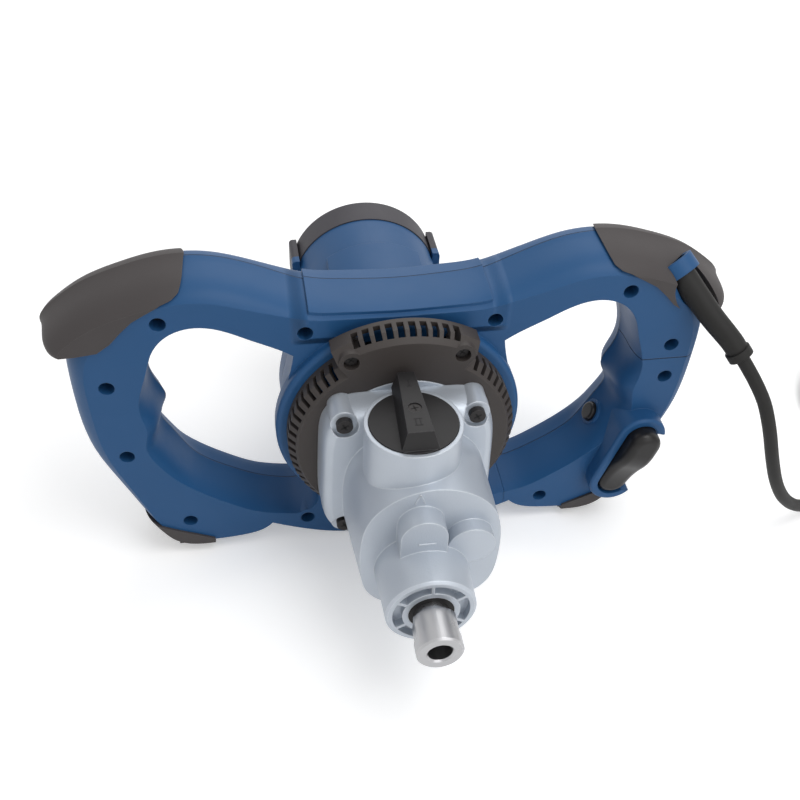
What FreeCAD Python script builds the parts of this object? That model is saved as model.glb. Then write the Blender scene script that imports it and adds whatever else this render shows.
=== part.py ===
import FreeCAD, Part
import math
import os

V = FreeCAD.Vector
os.makedirs("parts", exist_ok=True)

# Mixing drill with two side grips, lying on its foot pads with the speed dial upwards.
# All places are measured from the motor axis (x, z) and from the parting plane of the frame (y).
# The spindle points along -y, the trigger is at +x, and the dial faces +z.

# General fits
overrun = 2.0
press_gap = 0.02
running_gap = 0.05
seat_gap = 0.3
rim_tolerance = 0.1

# Frame
frame_half_width = 192.0
frame_half_height = 100.0
frame_front_depth = 30.5
frame_rear_depth = 13.5
frame_wall = 3.2
bumper_inset = 10.0
bumper_proud = 1.5
pad_thickness = 1.6
pad_foot_from_x = 113.0
pad_foot_to_x = 135.0
pad_foot_front_depth = 24.0
pad_foot_rear_depth = 9.0
pad_foot_drop = 0.4
pad_foot_height = 12.0
centre_plate_radius = 71.0
centre_plate_step = 6.0
centre_plate_round = 3.0
centre_bore_radius = 60.3
motor_bore_gap = 0.3

# Raised panel on the front bar
panel_half_width = 50.0
panel_rise = 1.6
panel_front_depth = 28.0
panel_rear_depth = 10.0
panel_height = 14.0

# Frame screws
screw_head_radius = 3.6
screw_head_height = 3.0
screw_shank_radius = 2.0
screw_counterbore_radius = 4.3
screw_counterbore_depth = 12.0
screw_post_radius = 6.8
screw_reach = 8.5

# Switch cover seams
cover_seam_x = 72.0
cover_seam_z = 28.5
cover_seam_gap = 0.15

# Trigger and its guard
trigger_x = 145.0
trigger_z = -44.0
trigger_tilt = 17.0
trigger_length = 58.0
trigger_width = 20.0
trigger_proud = 21.0
trigger_groove_radius = 62.0
trigger_groove_depth = 9.5
trigger_groove_offset = -27.0
trigger_brow_round = 30.0
trigger_round = 5.0
trigger_flange = 2.5
trigger_flange_depth = 4.0
trigger_gap = 0.5
trigger_travel = 6.0
guard_wall = 5.0
guard_proud = 11.0
guard_low_proud = 2.5
guard_end_land = 4.0
guard_round = 2.0
trigger_spring_radius = 5.5
trigger_spring_wire = 1.2
trigger_spring_length = 13.0
trigger_spring_offset = 11.0
plunger_radius = 2.5
plunger_depth = 6.0
switch_length = 40.0
switch_width = 18.0
switch_depth = 22.0

# Lock button in the inner wall of the trigger grip
lock_x = 129.3
lock_z = -30.0
lock_y = -9.0
lock_lean = 63.5
lock_radius = 6.0
lock_proud = 4.0
lock_inside = 5.0
lock_round = 1.5
lock_travel = 3.0
lock_flange = 1.5
lock_flange_height = 1.8
lock_collar_wall = 2.2
lock_collar_proud = 1.2

# Vent ring
ring_radius = 65.0
ring_depth = 16.0
ring_wall = 3.0
ring_hole_radius = 46.0
ring_top_radius = 76.0
ring_top_half_angle = 32.0
ring_top_side_angle = 6.0
ring_top_slots = 10
ring_top_slot_share = 0.6
ring_bevel = 5.0
ring_bevel_depth = 6.0
ring_side_slots = 54
ring_side_slot_width = 2.6
ring_slot_land = 3.0
ring_slot_front = 1.5
ring_screw_x = 30.0
ring_screw_z = 60.5
ring_boss_radius = 7.0
ring_screw_sink = 6.0

# Motor
barrel_radius = 47.0
barrel_wall = 3.0
barrel_length = 93.0
barrel_flange_radius = 60.0
barrel_flange_depth = 3.0
barrel_panel_half_width = 29.0
barrel_panel_rise = 3.0
barrel_panel_length = 62.0
tab_width = 5.0
tab_height = 22.0
tab_round = 2.5
tab_depth = 26.0
cap_depth = 20.0
cap_rise = 0.7
cap_wall = 3.0
cap_slots = 12
cap_slot_width = 4.0
cap_slot_length = 18.0
cap_slot_centre = 28.0
cap_screw_circle = 40.0
cap_boss_radius = 4.6
stator_length = 60.0
stator_bore_radius = 27.5
winding_length = 12.0
winding_inner_radius = 30.0
winding_outer_radius = 40.5
armature_gap = 0.7
armature_slots = 12
armature_slot_width = 3.0
armature_slot_depth = 6.0
shaft_radius = 5.0
shaft_rear_radius = 4.0
commutator_radius = 13.0
commutator_length = 18.0
commutator_offset = 20.0
fan_radius = 41.0
fan_depth = 11.0
fan_disc = 2.0
fan_hub_radius = 11.0
fan_blades = 12
fan_blade_wall = 2.0
fan_front_gap = 1.5
armature_winding_radius = 20.0
armature_winding_length = 10.0
stator_gap = 0.3
stator_front = 22.5
brush_width = 6.0
brush_height = 10.0
brush_length = 16.0
brush_gap = 0.3
brush_holder_wall = 1.5
brush_spring_length = 5.0
rear_wall = 3.0
rear_wall_inset = 4.0
rear_hub_radius = 13.0
rear_hub_depth = 8.0
rear_wall_holes = 8
rear_wall_hole_radius = 7.0
rear_wall_hole_circle = 29.0

# Bearings: bore radius, outer radius and width
motor_front_bearing = (5.0, 11.0, 7.0)
motor_rear_bearing = (4.0, 9.5, 6.0)
small_bearing = (4.0, 8.0, 5.0)
change_shaft_rear_bearing = (5.0, 9.5, 5.0)
spindle_rear_bearing = (6.0, 10.5, 5.0)
spindle_inner_bearing = (10.0, 19.0, 10.0)
spindle_outer_bearing = (9.0, 15.0, 9.0)
bearing_groove_share = 0.22
bearing_groove_depth = 0.6

# Gearbox
gearbox_length = 64.0
gearbox_wall = 4.0
gearbox_plate_depth = 8.0
gearbox_plate_radius = 45.5
plate_hub_radius = 15.0
plate_hub_depth = 5.5
plate_skirt_wall = 3.0
plate_slots = 8
plate_slot_width = 22.0
flange_half_width = 49.0
flange_half_height = 49.5
flange_drop = -8.5
flange_depth = 19.5
flange_round = 9.0
body_start_depth = 12.0
ear_post_radius = 7.5
ear_seat_depth = 16.0
ear_head_radius = 4.5
ear_head_height = 3.6
ear_shank_radius = 2.5
ear_anchor_radius = 5.0
ear_anchor_sink = 9.0
body_half_width = 40.0
body_half_height = 47.0
body_drop = -16.5
body_centre_x = 2.5
shoulder_half_width = 38.0
shoulder_half_height = 46.0
shoulder_drop = -19.5
shoulder_centre_x = 5.0
ear_screw_x = 36.0
ear_screw_top_z = 33.5
ear_screw_low_z = -43.5
inner_plate_depth = 5.0
boss_one_radius = 12.5
boss_one_x = -1.5
boss_one_z = 3.0
boss_one_height = 12.0
boss_two_radius = 13.0
boss_two_shift = 3.0
boss_two_height = 8.0
neck_radius = 25.6
neck_end_radius = 24.4
neck_length = 33.0
neck_chamfer = 1.3
neck_pocket_outer = 20.8
neck_pocket_inner = 15.5
neck_pocket_depth = 5.0
neck_rib_count = 6
neck_rib_width = 1.6
seal_radius = 12.3
seal_depth = 6.0
mark_depth = 0.6

# Gear train: module, driver teeth, driven teeth
first_stage = (0.9, 9, 46)
low_stage = (1.1, 14, 31)
high_stage = (1.1, 19, 26)
output_stage = (1.25, 13, 37)
layshaft_angle = -26.0
pressure_angle = 20.0
tooth_top_share = 0.9
tooth_root_share = 1.2
tooth_thin_share = 0.09
first_gear_width = 7.0
change_gear_width = 5.5
output_gear_width = 7.0
gear_space = 1.0
tooth_shifts = (0.45, 0.2, 0, 0.2)
dog_height = 2.5
dog_inner_radius = 8.0
dog_outer_radius = 12.0
dog_half_angle = 25.0
dog_count = 3
dog_gap = 0.5
sleeve_length = 9.2
sleeve_groove_radius = 8.5
groove_clearance = 0.75
layshaft_front_radius = 5.0
layshaft_hole_radius = 8.0
pinion_hole_radius = 6.5
layshaft_radius = 6.0
layshaft_end_radius = 4.0
change_shaft_radius = 5.0
change_shaft_end_radius = 4.0
change_flat_share = 0.78
spindle_radius = 10.0
spindle_rear_radius = 6.0
spindle_front_radius = 9.0
spindle_reach = 26.0
spindle_head_radius = 12.5
spindle_head_length = 20.0
spindle_flats = 22.0
spindle_flat_length = 12.0
spindle_thread_radius = 6.4
spindle_thread_depth = 22.0
spindle_clip_radius = 7.8
spindle_clip_width = 1.2
spindle_head_chamfer = 1.0

# Speed dial
dial_x = -2.0
dial_offset = 33.6
dial_level = 47.0
dial_radius = 23.4
dial_depth = 5.0
dial_boss_wall = 2.2
dial_gap = 0.3
dial_floor = 4.0
dial_stem_radius = 6.0
dial_pin_radius = 2.2
dial_pin_reach = 3.0
dial_stem_end = 14.0
dial_pin_end = 9.4
dial_boss_low = 10.0
dial_boss_inner_wall = 4.0
dial_clip_radius = 9.5
dial_clip_height = 1.2
knob_length = 46.5
knob_far_width = 9.0
knob_near_width = 13.6
knob_height = 10.0
knob_base_grow = 3.0
knob_overhang = 4.7
dial_screw_radius = 3.6
dial_screw_shank = 1.7
dial_screw_length = 10.0
dial_screw_sink = 2.2

# Cord gland and cord
gland_x = 157.0
gland_y = -20.0
gland_z = 84.0
gland_dir = V(0.52, -0.60, -0.61)
gland_radius = 11.0
gland_length = 4.0
gland_clearance_depth = 36.0
gland_sink = 5.0
sleeve_radius = 7.4
sleeve_end_radius = 6.3
sleeve_collar_radius = 7.3
sleeve_collar_length = 5.0
sleeve_taper_steps = 6
cord_radius = 4.0
capacitor_x = 104.0
capacitor_length = 24.0
capacitor_width = 13.0
capacitor_depth = 14.0
capacitor_y = -4.0

# Outline tables, as shares of the frame's half width and half height.
# The right half runs from the lower notch round the grip to the middle of the front bar.
outer_parting_shares = [
    (0.396, -0.88), (0.438, -0.94), (0.495, -0.975), (0.604, -0.987), (0.669, -0.976), (0.719, -0.93),
    (0.75, -0.86), (0.781, -0.77), (0.836, -0.56), (0.891, -0.33), (0.93, -0.14), (0.948, 0.05),
    (0.953, 0.25), (0.953, 0.45), (0.945, 0.60), (0.911, 0.74), (0.849, 0.84), (0.766, 0.92),
    (0.677, 0.975), (0.589, 0.995), (0.51, 0.98), (0.417, 0.925), (0.323, 0.845), (0.25, 0.79),
    (0.156, 0.765), (0, 0.75),
]
outer_face_shares = [
    (0.396, -0.82), (0.438, -0.88), (0.49, -0.905), (0.604, -0.92), (0.661, -0.91), (0.703, -0.87),
    (0.729, -0.81), (0.755, -0.72), (0.797, -0.52), (0.839, -0.31), (0.87, -0.13), (0.885, 0.05),
    (0.891, 0.25), (0.891, 0.43), (0.878, 0.55), (0.839, 0.67), (0.781, 0.76), (0.719, 0.835),
    (0.656, 0.885), (0.589, 0.90), (0.516, 0.885), (0.422, 0.83), (0.328, 0.775), (0.255, 0.74),
    (0.156, 0.73), (0, 0.725),
]
bottom_shares = [(0.302, -0.925), (0.172, -0.975), (0, -0.98)]
bottom_face_shares = [(0.302, -0.895), (0.172, -0.96), (0, -0.965)]
window_parting_shares = [
    (0.296, 0.46), (0.318, 0.25), (0.34, 0), (0.318, -0.25), (0.268, -0.44), (0.243, -0.55),
    (0.245, -0.66), (0.292, -0.73), (0.359, -0.725), (0.43, -0.684), (0.507, -0.606), (0.581, -0.513),
    (0.625, -0.43), (0.656, -0.33), (0.688, -0.21), (0.711, -0.09), (0.688, 0.04), (0.708, 0.15),
    (0.724, 0.26), (0.721, 0.37), (0.708, 0.48), (0.69, 0.57), (0.661, 0.64), (0.625, 0.685),
    (0.578, 0.71), (0.531, 0.70), (0.474, 0.66), (0.417, 0.60), (0.362, 0.54),
]
window_face_shares = [
    (0.311, 0.52), (0.344, 0.25), (0.37, 0), (0.344, -0.25), (0.289, -0.44), (0.253, -0.55),
    (0.25, -0.67), (0.292, -0.75), (0.359, -0.75), (0.4375, -0.715), (0.515, -0.635), (0.586, -0.54),
    (0.646, -0.45), (0.693, -0.37), (0.74, -0.24), (0.766, -0.09), (0.76, 0.04), (0.766, 0.15),
    (0.76, 0.26), (0.74, 0.37), (0.719, 0.48), (0.703, 0.58), (0.674, 0.67), (0.635, 0.725),
    (0.583, 0.75), (0.531, 0.74), (0.479, 0.70), (0.422, 0.64), (0.365, 0.585),
]
# The first points of a window lie along the motor hub, which keeps its width towards the rear
window_hub_points = 6
# The least share of a step that is kept where an outline is grown round a sharp corner
sharp_corner_share = 0.6
# How far each section lies from the parting plane,
# and how far it has gone from the first outline to the second
section_shares = [(0, 0), (0.5, 0.22), (0.87, 0.6), (1, 1)]
bumper_shares = [
    (0.568, 1.06), (0.586, 1.0), (0.604, 0.95), (0.625, 0.925), (0.655, 0.905), (0.70, 0.855),
    (0.735, 0.815), (0.77, 0.75), (0.80, 0.685), (0.839, 0.63), (0.90, 0.615), (1.05, 0.605), (1.05, 1.06),
]
bumper_tip_shares = [
    (0.955, 0.40), (0.985, 0.55), (1.0, 0.65), (0.955, 0.76), (0.87, 0.87), (0.772, 0.944), (0.676, 0.994),
    (0.57, 1.008), (0.48, 0.70), (0.70, 0.28),
]
bumper_rim_points = 8
pad_shares = [(0.585, -1.05), (0.585, -0.90), (0.70, -0.80), (0.80, -0.70), (0.85, -0.80), (0.85, -1.05)]
shell_screw_shares = [
    (0.272, 0.655), (0.663, 0.785), (0.83, 0.385), (-0.272, 0.655), (-0.668, 0.78), (-0.833, 0.375),
    (0.836, 0.145), (-0.813, -0.145), (-0.656, -0.73), (-0.281, -0.80), (0.281, -0.80), (0.5, -0.80),
]
flange_section_shares = [(0, 0), (0.6, 0.08), (0.88, 0.3), (1, 0.68)]
flange_shares = [
    (0, 1), (0.45, 0.99), (0.74, 0.95), (0.91, 0.8), (0.985, 0.5), (1, 0.1), (1, -0.45), (0.92, -0.76),
    (0.68, -0.94), (0, -1),
]
body_shares = [
    (0, 1), (0.5, 0.89), (0.87, 0.59), (1, 0.18), (1, -0.3), (0.88, -0.7), (0.52, -0.94), (0, -1),
]

# Cord route, in millimetres from the motor axis and the parting plane, from the sleeve to the coil
sleeve_route = [V(174.1, -39.8, 63.9), V(184, -49, 54.5), V(190.6, -54.1, 45.6)]
cord_route = [
    V(190.6, -54.1, 45.6), V(203.9, -64.2, 27.6), V(213, -70, 4), V(221, -72, -21), V(231, -71, -45),
    V(245, -67, -66.5), V(264, -60, -83), V(286, -48, -91.5), V(305, -30, -94), V(318, -8, -94.3),
    V(324, 16, -94.3), V(324, 40, -94.3),
]
coil_radius = 64.2
coil_step = 4.45
coil_half_turns = 7
coil_inner_radius = 30.5
coil_rise = 8.9
coil_tail = 52.0
coil_sample_step = 1.5
tie_wall = 1.6
tie_width = 10.0
tie_gap = 0.3
plug_neck_radius = 5.5
plug_neck_end_radius = 9.0
plug_neck_length = 20.0
plug_half_width = 18.0
plug_half_height = 14.4
plug_length = 36.0
plug_pin_radius = 2.4
plug_pin_length = 19.0
plug_pin_half_spacing = 9.5
plug_pin_sink = 8.0
bend_share = 0.45
straight_tolerance = 1e-9
# How wide the plug is at each part of its length
plug_body_shares = [(0.62, 0), (0.92, 0.22), (1, 0.5), (1, 1)]

# Heights and depths that follow from the driving sizes
front_face_y = -frame_front_depth
plate_face_y = front_face_y - centre_plate_step
ring_face_y = plate_face_y - ring_depth
shoulder_y = ring_face_y - gearbox_length
neck_end_y = shoulder_y - neck_length
spindle_end_y = neck_end_y - spindle_reach
cap_front_y = frame_rear_depth + barrel_length
cap_rear_y = cap_front_y + cap_depth
floor_z = -frame_half_height

nodes = {}
cord_nodes = []


def save(name, shape, on_cord=False):
    nodes[name] = shape
    if on_cord:
        cord_nodes.append(name)


def rod(radius, y_from, y_to, at=(0, 0)):
    low = min(y_from, y_to)
    return Part.makeCylinder(radius, abs(y_to - y_from), V(at[0], low, at[1]), V(0, 1, 0))


def tube(outer, inner, y_from, y_to, at=(0, 0)):
    return rod(outer, y_from, y_to, at).cut(rod(inner, y_from, y_to, at))


def post(radius, z_from, z_to, at):
    low = min(z_from, z_to)
    return Part.makeCylinder(radius, abs(z_to - z_from), V(at[0], at[1], low))


def block(x_from, x_to, y_from, y_to, z_from, z_to):
    return Part.makeBox(x_to - x_from, y_to - y_from, z_to - z_from, V(x_from, y_from, z_from))


def edges_before(shape, y):
    # The edges that lie in the shape's foremost face, at y
    return [e for e in shape.Edges if e.BoundBox.YMax < y + rim_tolerance]


def prism(points, y_from, y_to):
    low = min(y_from, y_to)
    corners = [V(x, low, z) for x, z in points]
    face = Part.Face(Part.makePolygon(corners + corners[:1]))
    return face.extrude(V(0, abs(y_to - y_from), 0))


def turned(shape, angle, at=(0, 0)):
    copy = shape.copy()
    copy.rotate(V(at[0], 0, at[1]), V(0, 1, 0), angle)
    return copy


def mirrored(shape):
    return shape.mirror(V(0, 0, 0), V(1, 0, 0))


def ring_of(shape, count, start=0):
    return [turned(shape, start + 360.0 * i / count) for i in range(count)]


def fused(shapes):
    return shapes[0].multiFuse(shapes[1:]).removeSplitter() if len(shapes) > 1 else shapes[0]


def lofted(wires):
    return Part.makeLoft(wires, True, False)


def grown(points, distance):
    # Moves each point of a closed anticlockwise outline outwards by the distance
    out = []
    for i, (x, z) in enumerate(points):
        before = points[i - 1]
        after = points[(i + 1) % len(points)]
        first = V(x - before[0], z - before[1], 0).normalize()
        second = V(after[0] - x, after[1] - z, 0).normalize()
        normal = V(first.y + second.y, -first.x - second.x, 0).normalize()
        reach = distance / max(normal.x * first.y - normal.y * first.x, sharp_corner_share)
        out.append((x + normal.x * reach, z + normal.y * reach))
    return out


def blended(first, second, share):
    return [(a[0] + (b[0] - a[0]) * share, a[1] + (b[1] - a[1]) * share) for a, b in zip(first, second)]


def spline_wire(points, y, corners):
    # A closed wire of smooth curves that meet at the numbered corners
    places = [V(x, y, z) for x, z in points]
    edges = []
    for n, start in enumerate(corners):
        end = corners[n + 1] if n + 1 < len(corners) else corners[0] + len(places)
        run = [places[i % len(places)] for i in range(start, end + 1)]
        curve = Part.BSplineCurve()
        curve.interpolate(run)
        edges.append(curve.toShape())
    return Part.Wire(edges)


def closed_wire(points, y):
    curve = Part.BSplineCurve()
    curve.interpolate([V(x, y, z) for x, z in points], PeriodicFlag=True)
    return Part.Wire([curve.toShape()])


def scaled(shares, width, height, centre=(0, 0)):
    return [(centre[0] + x * width, centre[1] + z * height) for x, z in shares]


def both_sides(half):
    # Completes an outline whose first and last points lie on the middle plane
    return half + [(-x, z) for x, z in half[-2:0:-1]]


def frame_outline(side_shares, low_shares):
    side = scaled(side_shares, frame_half_width, frame_half_height)
    low = scaled(low_shares, frame_half_width, frame_half_height)
    left = [(-x, z) for x, z in side[-2::-1]]
    return side + left + [(-x, z) for x, z in low] + low[-2::-1]


outer_parting = frame_outline(outer_parting_shares, bottom_shares)
outer_face = frame_outline(outer_face_shares, bottom_face_shares)
outer_corners = [0, 2 * (len(outer_parting_shares) - 1)]
window_parting = scaled(window_parting_shares, frame_half_width, frame_half_height)
window_face = scaled(window_face_shares, frame_half_width, frame_half_height)
window_rear = window_parting[:window_hub_points] + window_face[window_hub_points:]


def layers(first, second, corners, depth, growth):
    wires = []
    for reach, share in section_shares:
        points = grown(blended(first, second, share), growth)
        wires.append(spline_wire(points, reach * depth, corners))
    return lofted(wires)


def across(shape):
    return shape.mirror(V(0, 0, 0), V(0, 1, 0))


def frame_form(depth, growth):
    # The outer form of one half of the frame, without its hand windows, in front of the parting plane
    return layers(outer_parting, outer_face, outer_corners, -depth - growth, growth)


def window_cores(face, depth, growth):
    core = layers(window_parting, face, [0], -depth - overrun, growth)
    return Part.makeCompound([core, mirrored(core)])


def frame_cavity(face, depth):
    hollow_form = layers(outer_parting, outer_face, outer_corners, frame_wall - depth, -frame_wall)
    return hollow_form.cut(window_cores(face, depth, frame_wall))


def region(shares, reach):
    return prism(scaled(shares, frame_half_width, frame_half_height), -reach, reach)


front_form = frame_form(frame_front_depth, 0)
rear_form = across(frame_form(frame_rear_depth, 0))
open_front = front_form.cut(window_cores(window_face, frame_front_depth, 0))
open_rear = rear_form.cut(across(window_cores(window_rear, frame_rear_depth, 0)))
bar_level = outer_parting_shares[-1][1] * frame_half_height
panel_low_z = bar_level - panel_height
panel_high_z = bar_level + panel_height
panel_front = frame_form(frame_front_depth, panel_rise).common(
    block(-panel_half_width, panel_half_width, -panel_front_depth, 0, panel_low_z, panel_high_z)
)
panel_rear = across(frame_form(frame_rear_depth, panel_rise)).common(
    block(-panel_half_width, panel_half_width, 0, panel_rear_depth, panel_low_z, panel_high_z)
)
region_reach = 2 * frame_front_depth

# Round central plate that the vent ring stands on
centre_plate = rod(centre_plate_radius, plate_face_y, front_face_y + frame_wall)
centre_plate = centre_plate.makeFillet(centre_plate_round, edges_before(centre_plate, plate_face_y))

# Posts that take the frame screws: a head pocket on the gear side, a blind hole on the motor side
screw_places = scaled(shell_screw_shares, frame_half_width, frame_half_height)
screw_seat_y = front_face_y + screw_counterbore_depth


def screw_face(at):
    below_face = V(at[0], plate_face_y + centre_plate_round, at[1])
    on_plate = centre_plate.isInside(below_face, rim_tolerance, True)
    return plate_face_y if on_plate else front_face_y


front_posts = [rod(screw_post_radius, screw_face(at), 0, at) for at in screw_places]
rear_posts = [rod(screw_post_radius, 0, frame_rear_depth - frame_wall / 2, at) for at in screw_places]
pocket_top_y = plate_face_y - overrun
head_pockets = [rod(screw_counterbore_radius, pocket_top_y, screw_seat_y, at) for at in screw_places]
shank_holes = [rod(screw_shank_radius + seat_gap, screw_seat_y - overrun, 0, at) for at in screw_places]
screw_holes = [
    rod(screw_shank_radius + press_gap, 0, screw_reach + overrun, at) for at in screw_places
]

front = open_front.multiFuse([panel_front, centre_plate]).cut(frame_cavity(window_face, frame_front_depth))
front = front.multiFuse([s.common(front_form.fuse(centre_plate)) for s in front_posts])
front = front.cut(rod(centre_bore_radius, plate_face_y - overrun, plate_face_y + barrel_flange_depth))
front = front.cut(rod(barrel_radius + motor_bore_gap, plate_face_y, 0))
front = front.cut(Part.makeCompound(head_pockets + shank_holes))

rear = open_rear.fuse(panel_rear).cut(across(frame_cavity(window_rear, frame_rear_depth)))
rear = rear.multiFuse(rear_posts)
rear = rear.cut(rod(barrel_radius + motor_bore_gap, 0, frame_rear_depth + overrun))
rear = rear.cut(Part.makeCompound(screw_holes))

shell_screws = [
    rod(screw_head_radius, screw_seat_y - screw_head_height, screw_seat_y, at).fuse(
        rod(screw_shank_radius, screw_seat_y, screw_reach, at)
    )
    for at in screw_places
]
save("shell_screws", Part.makeCompound(shell_screws))

# Rubber corners and foot pads, each a skin over both halves of the frame
bumper_parting = scaled(bumper_tip_shares, frame_half_width, frame_half_height)
bumper_face = grown(bumper_parting, -bumper_inset)[:bumper_rim_points] + bumper_parting[bumper_rim_points:]
bumper_corners = [0, bumper_rim_points - 1]
bumper_front = layers(bumper_parting, bumper_face, bumper_corners, -frame_front_depth - bumper_proud, 0)
bumper_rear = layers(bumper_parting, bumper_face, bumper_corners, -frame_rear_depth - bumper_proud, 0)
bumper_rear = across(bumper_rear)
bumper = fused([bumper_front, bumper_rear]).common(region(bumper_shares, region_reach))
bumper = bumper.cut(front_form).cut(rear_form)
pad_front = frame_form(frame_front_depth, pad_thickness)
pad_rear = across(frame_form(frame_rear_depth, pad_thickness))
pad = fused([pad_front, pad_rear]).common(region(pad_shares, region_reach))
pad_low_z = floor_z - pad_foot_drop
pad = pad.fuse(
    block(
        pad_foot_from_x,
        pad_foot_to_x,
        -pad_foot_front_depth,
        pad_foot_rear_depth,
        pad_low_z,
        pad_low_z + pad_foot_height,
    )
)
pad = pad.cut(front_form).cut(rear_form)
save("left_corner_bumper", mirrored(bumper))
save("left_foot_pad", mirrored(pad))


# Trigger, its guard and the switch
def oblong(length, width, y_from, y_to):
    # An oblong prism at the trigger's place, leaning with it
    half = (length - width) / 2
    low, high = min(y_from, y_to), max(y_from, y_to)
    ends = [rod(width / 2, low, high, (trigger_x, trigger_z + side * half)) for side in (-1, 1)]
    middle = block(
        trigger_x - width / 2, trigger_x + width / 2, low, high, trigger_z - half, trigger_z + half
    )
    return turned(fused([middle] + ends), trigger_tilt, (trigger_x, trigger_z))


def along_trigger(offset):
    lean = math.radians(trigger_tilt)
    return (trigger_x + offset * math.sin(lean), trigger_z + offset * math.cos(lean))


inner_face_y = front_face_y + frame_wall
flange_front_y = inner_face_y + seat_gap
flange_rear_y = flange_front_y + trigger_flange_depth
pocket_rear_y = flange_rear_y + trigger_travel + 2 * seat_gap
switch_front_y = pocket_rear_y + seat_gap
guard_grow = 2 * (trigger_gap + guard_wall)
flange_grow = 2 * trigger_flange
slot_grow = 2 * trigger_gap
guard = oblong(
    trigger_length + guard_grow, trigger_width + guard_grow, front_face_y - guard_proud, pocket_rear_y
)
guard = guard.makeFillet(guard_round, edges_before(guard, front_face_y - guard_proud))
guard_gap_half = trigger_length / 2 - guard_end_land
guard_gap = block(
    trigger_x,
    trigger_x + trigger_width + guard_grow,
    front_face_y - guard_proud - overrun,
    front_face_y - guard_low_proud,
    trigger_z - guard_gap_half,
    trigger_z + guard_gap_half,
)
guard = guard.cut(turned(guard_gap, trigger_tilt, (trigger_x, trigger_z)))
guard_room = oblong(
    trigger_length + guard_grow + 2 * seat_gap,
    trigger_width + guard_grow + 2 * seat_gap,
    front_face_y - guard_proud,
    pocket_rear_y + seat_gap,
)
save("right_foot_pad", pad.cut(guard_room))
trigger_slot = oblong(
    trigger_length + slot_grow,
    trigger_width + slot_grow,
    front_face_y - guard_proud - overrun,
    inner_face_y,
)
trigger_pocket = oblong(
    trigger_length + flange_grow + slot_grow,
    trigger_width + flange_grow + slot_grow,
    inner_face_y,
    pocket_rear_y + overrun,
)
trigger = oblong(trigger_length, trigger_width, front_face_y - trigger_proud, flange_front_y)
groove_y = front_face_y - trigger_proud + trigger_groove_depth - trigger_groove_radius
finger_groove = Part.makeCylinder(
    trigger_groove_radius,
    2 * trigger_width,
    V(trigger_x - trigger_width, groove_y, trigger_z + trigger_groove_offset),
    V(1, 0, 0),
)
trigger = trigger.cut(turned(finger_groove, trigger_tilt, (trigger_x, trigger_z))).removeSplitter()


def crosses_trigger(edge):
    return isinstance(edge.Curve, Part.Line) and edge.Length > trigger_width - trigger_round


# The groove's upper edge is a soft brow, and the whole front outline is rounded after it
trigger_front_y = front_face_y - trigger_proud
brow = [e for e in edges_before(trigger, trigger_front_y) if crosses_trigger(e)]
trigger = trigger.makeFillet(trigger_brow_round, brow)
outline = [e for e in edges_before(trigger, front_face_y) if not crosses_trigger(e)]
trigger = trigger.makeFillet(trigger_round, outline)
trigger = trigger.fuse(
    oblong(trigger_length + flange_grow, trigger_width + flange_grow, flange_front_y, flange_rear_y)
)
spring_at = along_trigger(-trigger_spring_offset)
plunger_at = along_trigger(trigger_spring_offset)
spring_front_y = switch_front_y - trigger_spring_length
spring_room_y = spring_front_y - trigger_travel - seat_gap
trigger = trigger.cut(rod(trigger_spring_radius + seat_gap, spring_room_y, flange_rear_y, spring_at))
save("trigger", trigger)
spring_bore_radius = trigger_spring_radius - trigger_spring_wire
trigger_spring = tube(trigger_spring_radius, spring_bore_radius, spring_front_y, switch_front_y, spring_at)
save("trigger_spring", trigger_spring)
plunger_end_y = switch_front_y + plunger_depth
save("switch_plunger", rod(plunger_radius, flange_rear_y, plunger_end_y, plunger_at))
switch = turned(
    block(
        trigger_x - switch_width / 2,
        trigger_x + switch_width / 2,
        switch_front_y,
        switch_front_y + switch_depth,
        trigger_z - switch_length / 2,
        trigger_z + switch_length / 2,
    ),
    trigger_tilt,
    (trigger_x, trigger_z),
)
plunger_bore_y = plunger_end_y + trigger_travel + seat_gap
switch = switch.cut(rod(plunger_radius + seat_gap, switch_front_y, plunger_bore_y, plunger_at))
save("switch_module", switch)


# Lock button, built upright at its place and then leaned into the grip's inner wall
def leaned(shape):
    return turned(shape, -lock_lean, (lock_x, lock_z))


def lock_post(radius, low, high):
    return leaned(post(radius, lock_z + low, lock_z + high, (lock_x, lock_y)))


lock_flange_top = lock_flange_height - lock_inside
lock_button = lock_post(lock_radius, -lock_inside, lock_proud)
lock_edge = [e for e in lock_button.Edges if e.Closed]
lock_edge.sort(key=lambda e: e.CenterOfMass.x)
lock_button = lock_button.makeFillet(lock_round, lock_edge[:1])
lock_button = lock_button.fuse(lock_post(lock_radius + lock_flange, -lock_inside, lock_flange_top))
lock_hole = lock_post(lock_radius + seat_gap, -lock_inside, lock_proud + overrun)
lock_seat_low = -lock_inside - lock_travel - seat_gap
lock_seat = lock_post(lock_radius + lock_flange + seat_gap, lock_seat_low, lock_flange_top + seat_gap)
lock_collar = lock_post(lock_radius + lock_collar_wall, lock_flange_top + seat_gap, lock_collar_proud)
save("lock_button", lock_button)

# Cord gland, a collar on the shell that the rubber corner is cut round
gland_dir.normalize()
gland_at = V(gland_x, gland_y, gland_z)
gland_foot = gland_at - gland_dir * gland_sink
gland_reach = gland_length + gland_sink
gland = Part.makeCylinder(gland_radius, gland_reach, gland_foot, gland_dir)
gland_bore = Part.makeCylinder(sleeve_radius + seat_gap, gland_clearance_depth, gland_foot, gland_dir)
gland_room = Part.makeCylinder(gland_radius + seat_gap, gland_clearance_depth, gland_foot, gland_dir)
save("right_corner_bumper", bumper.cut(gland_room))
rear = rear.cut(gland_room)
save("motor_side_shell", rear)

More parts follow.
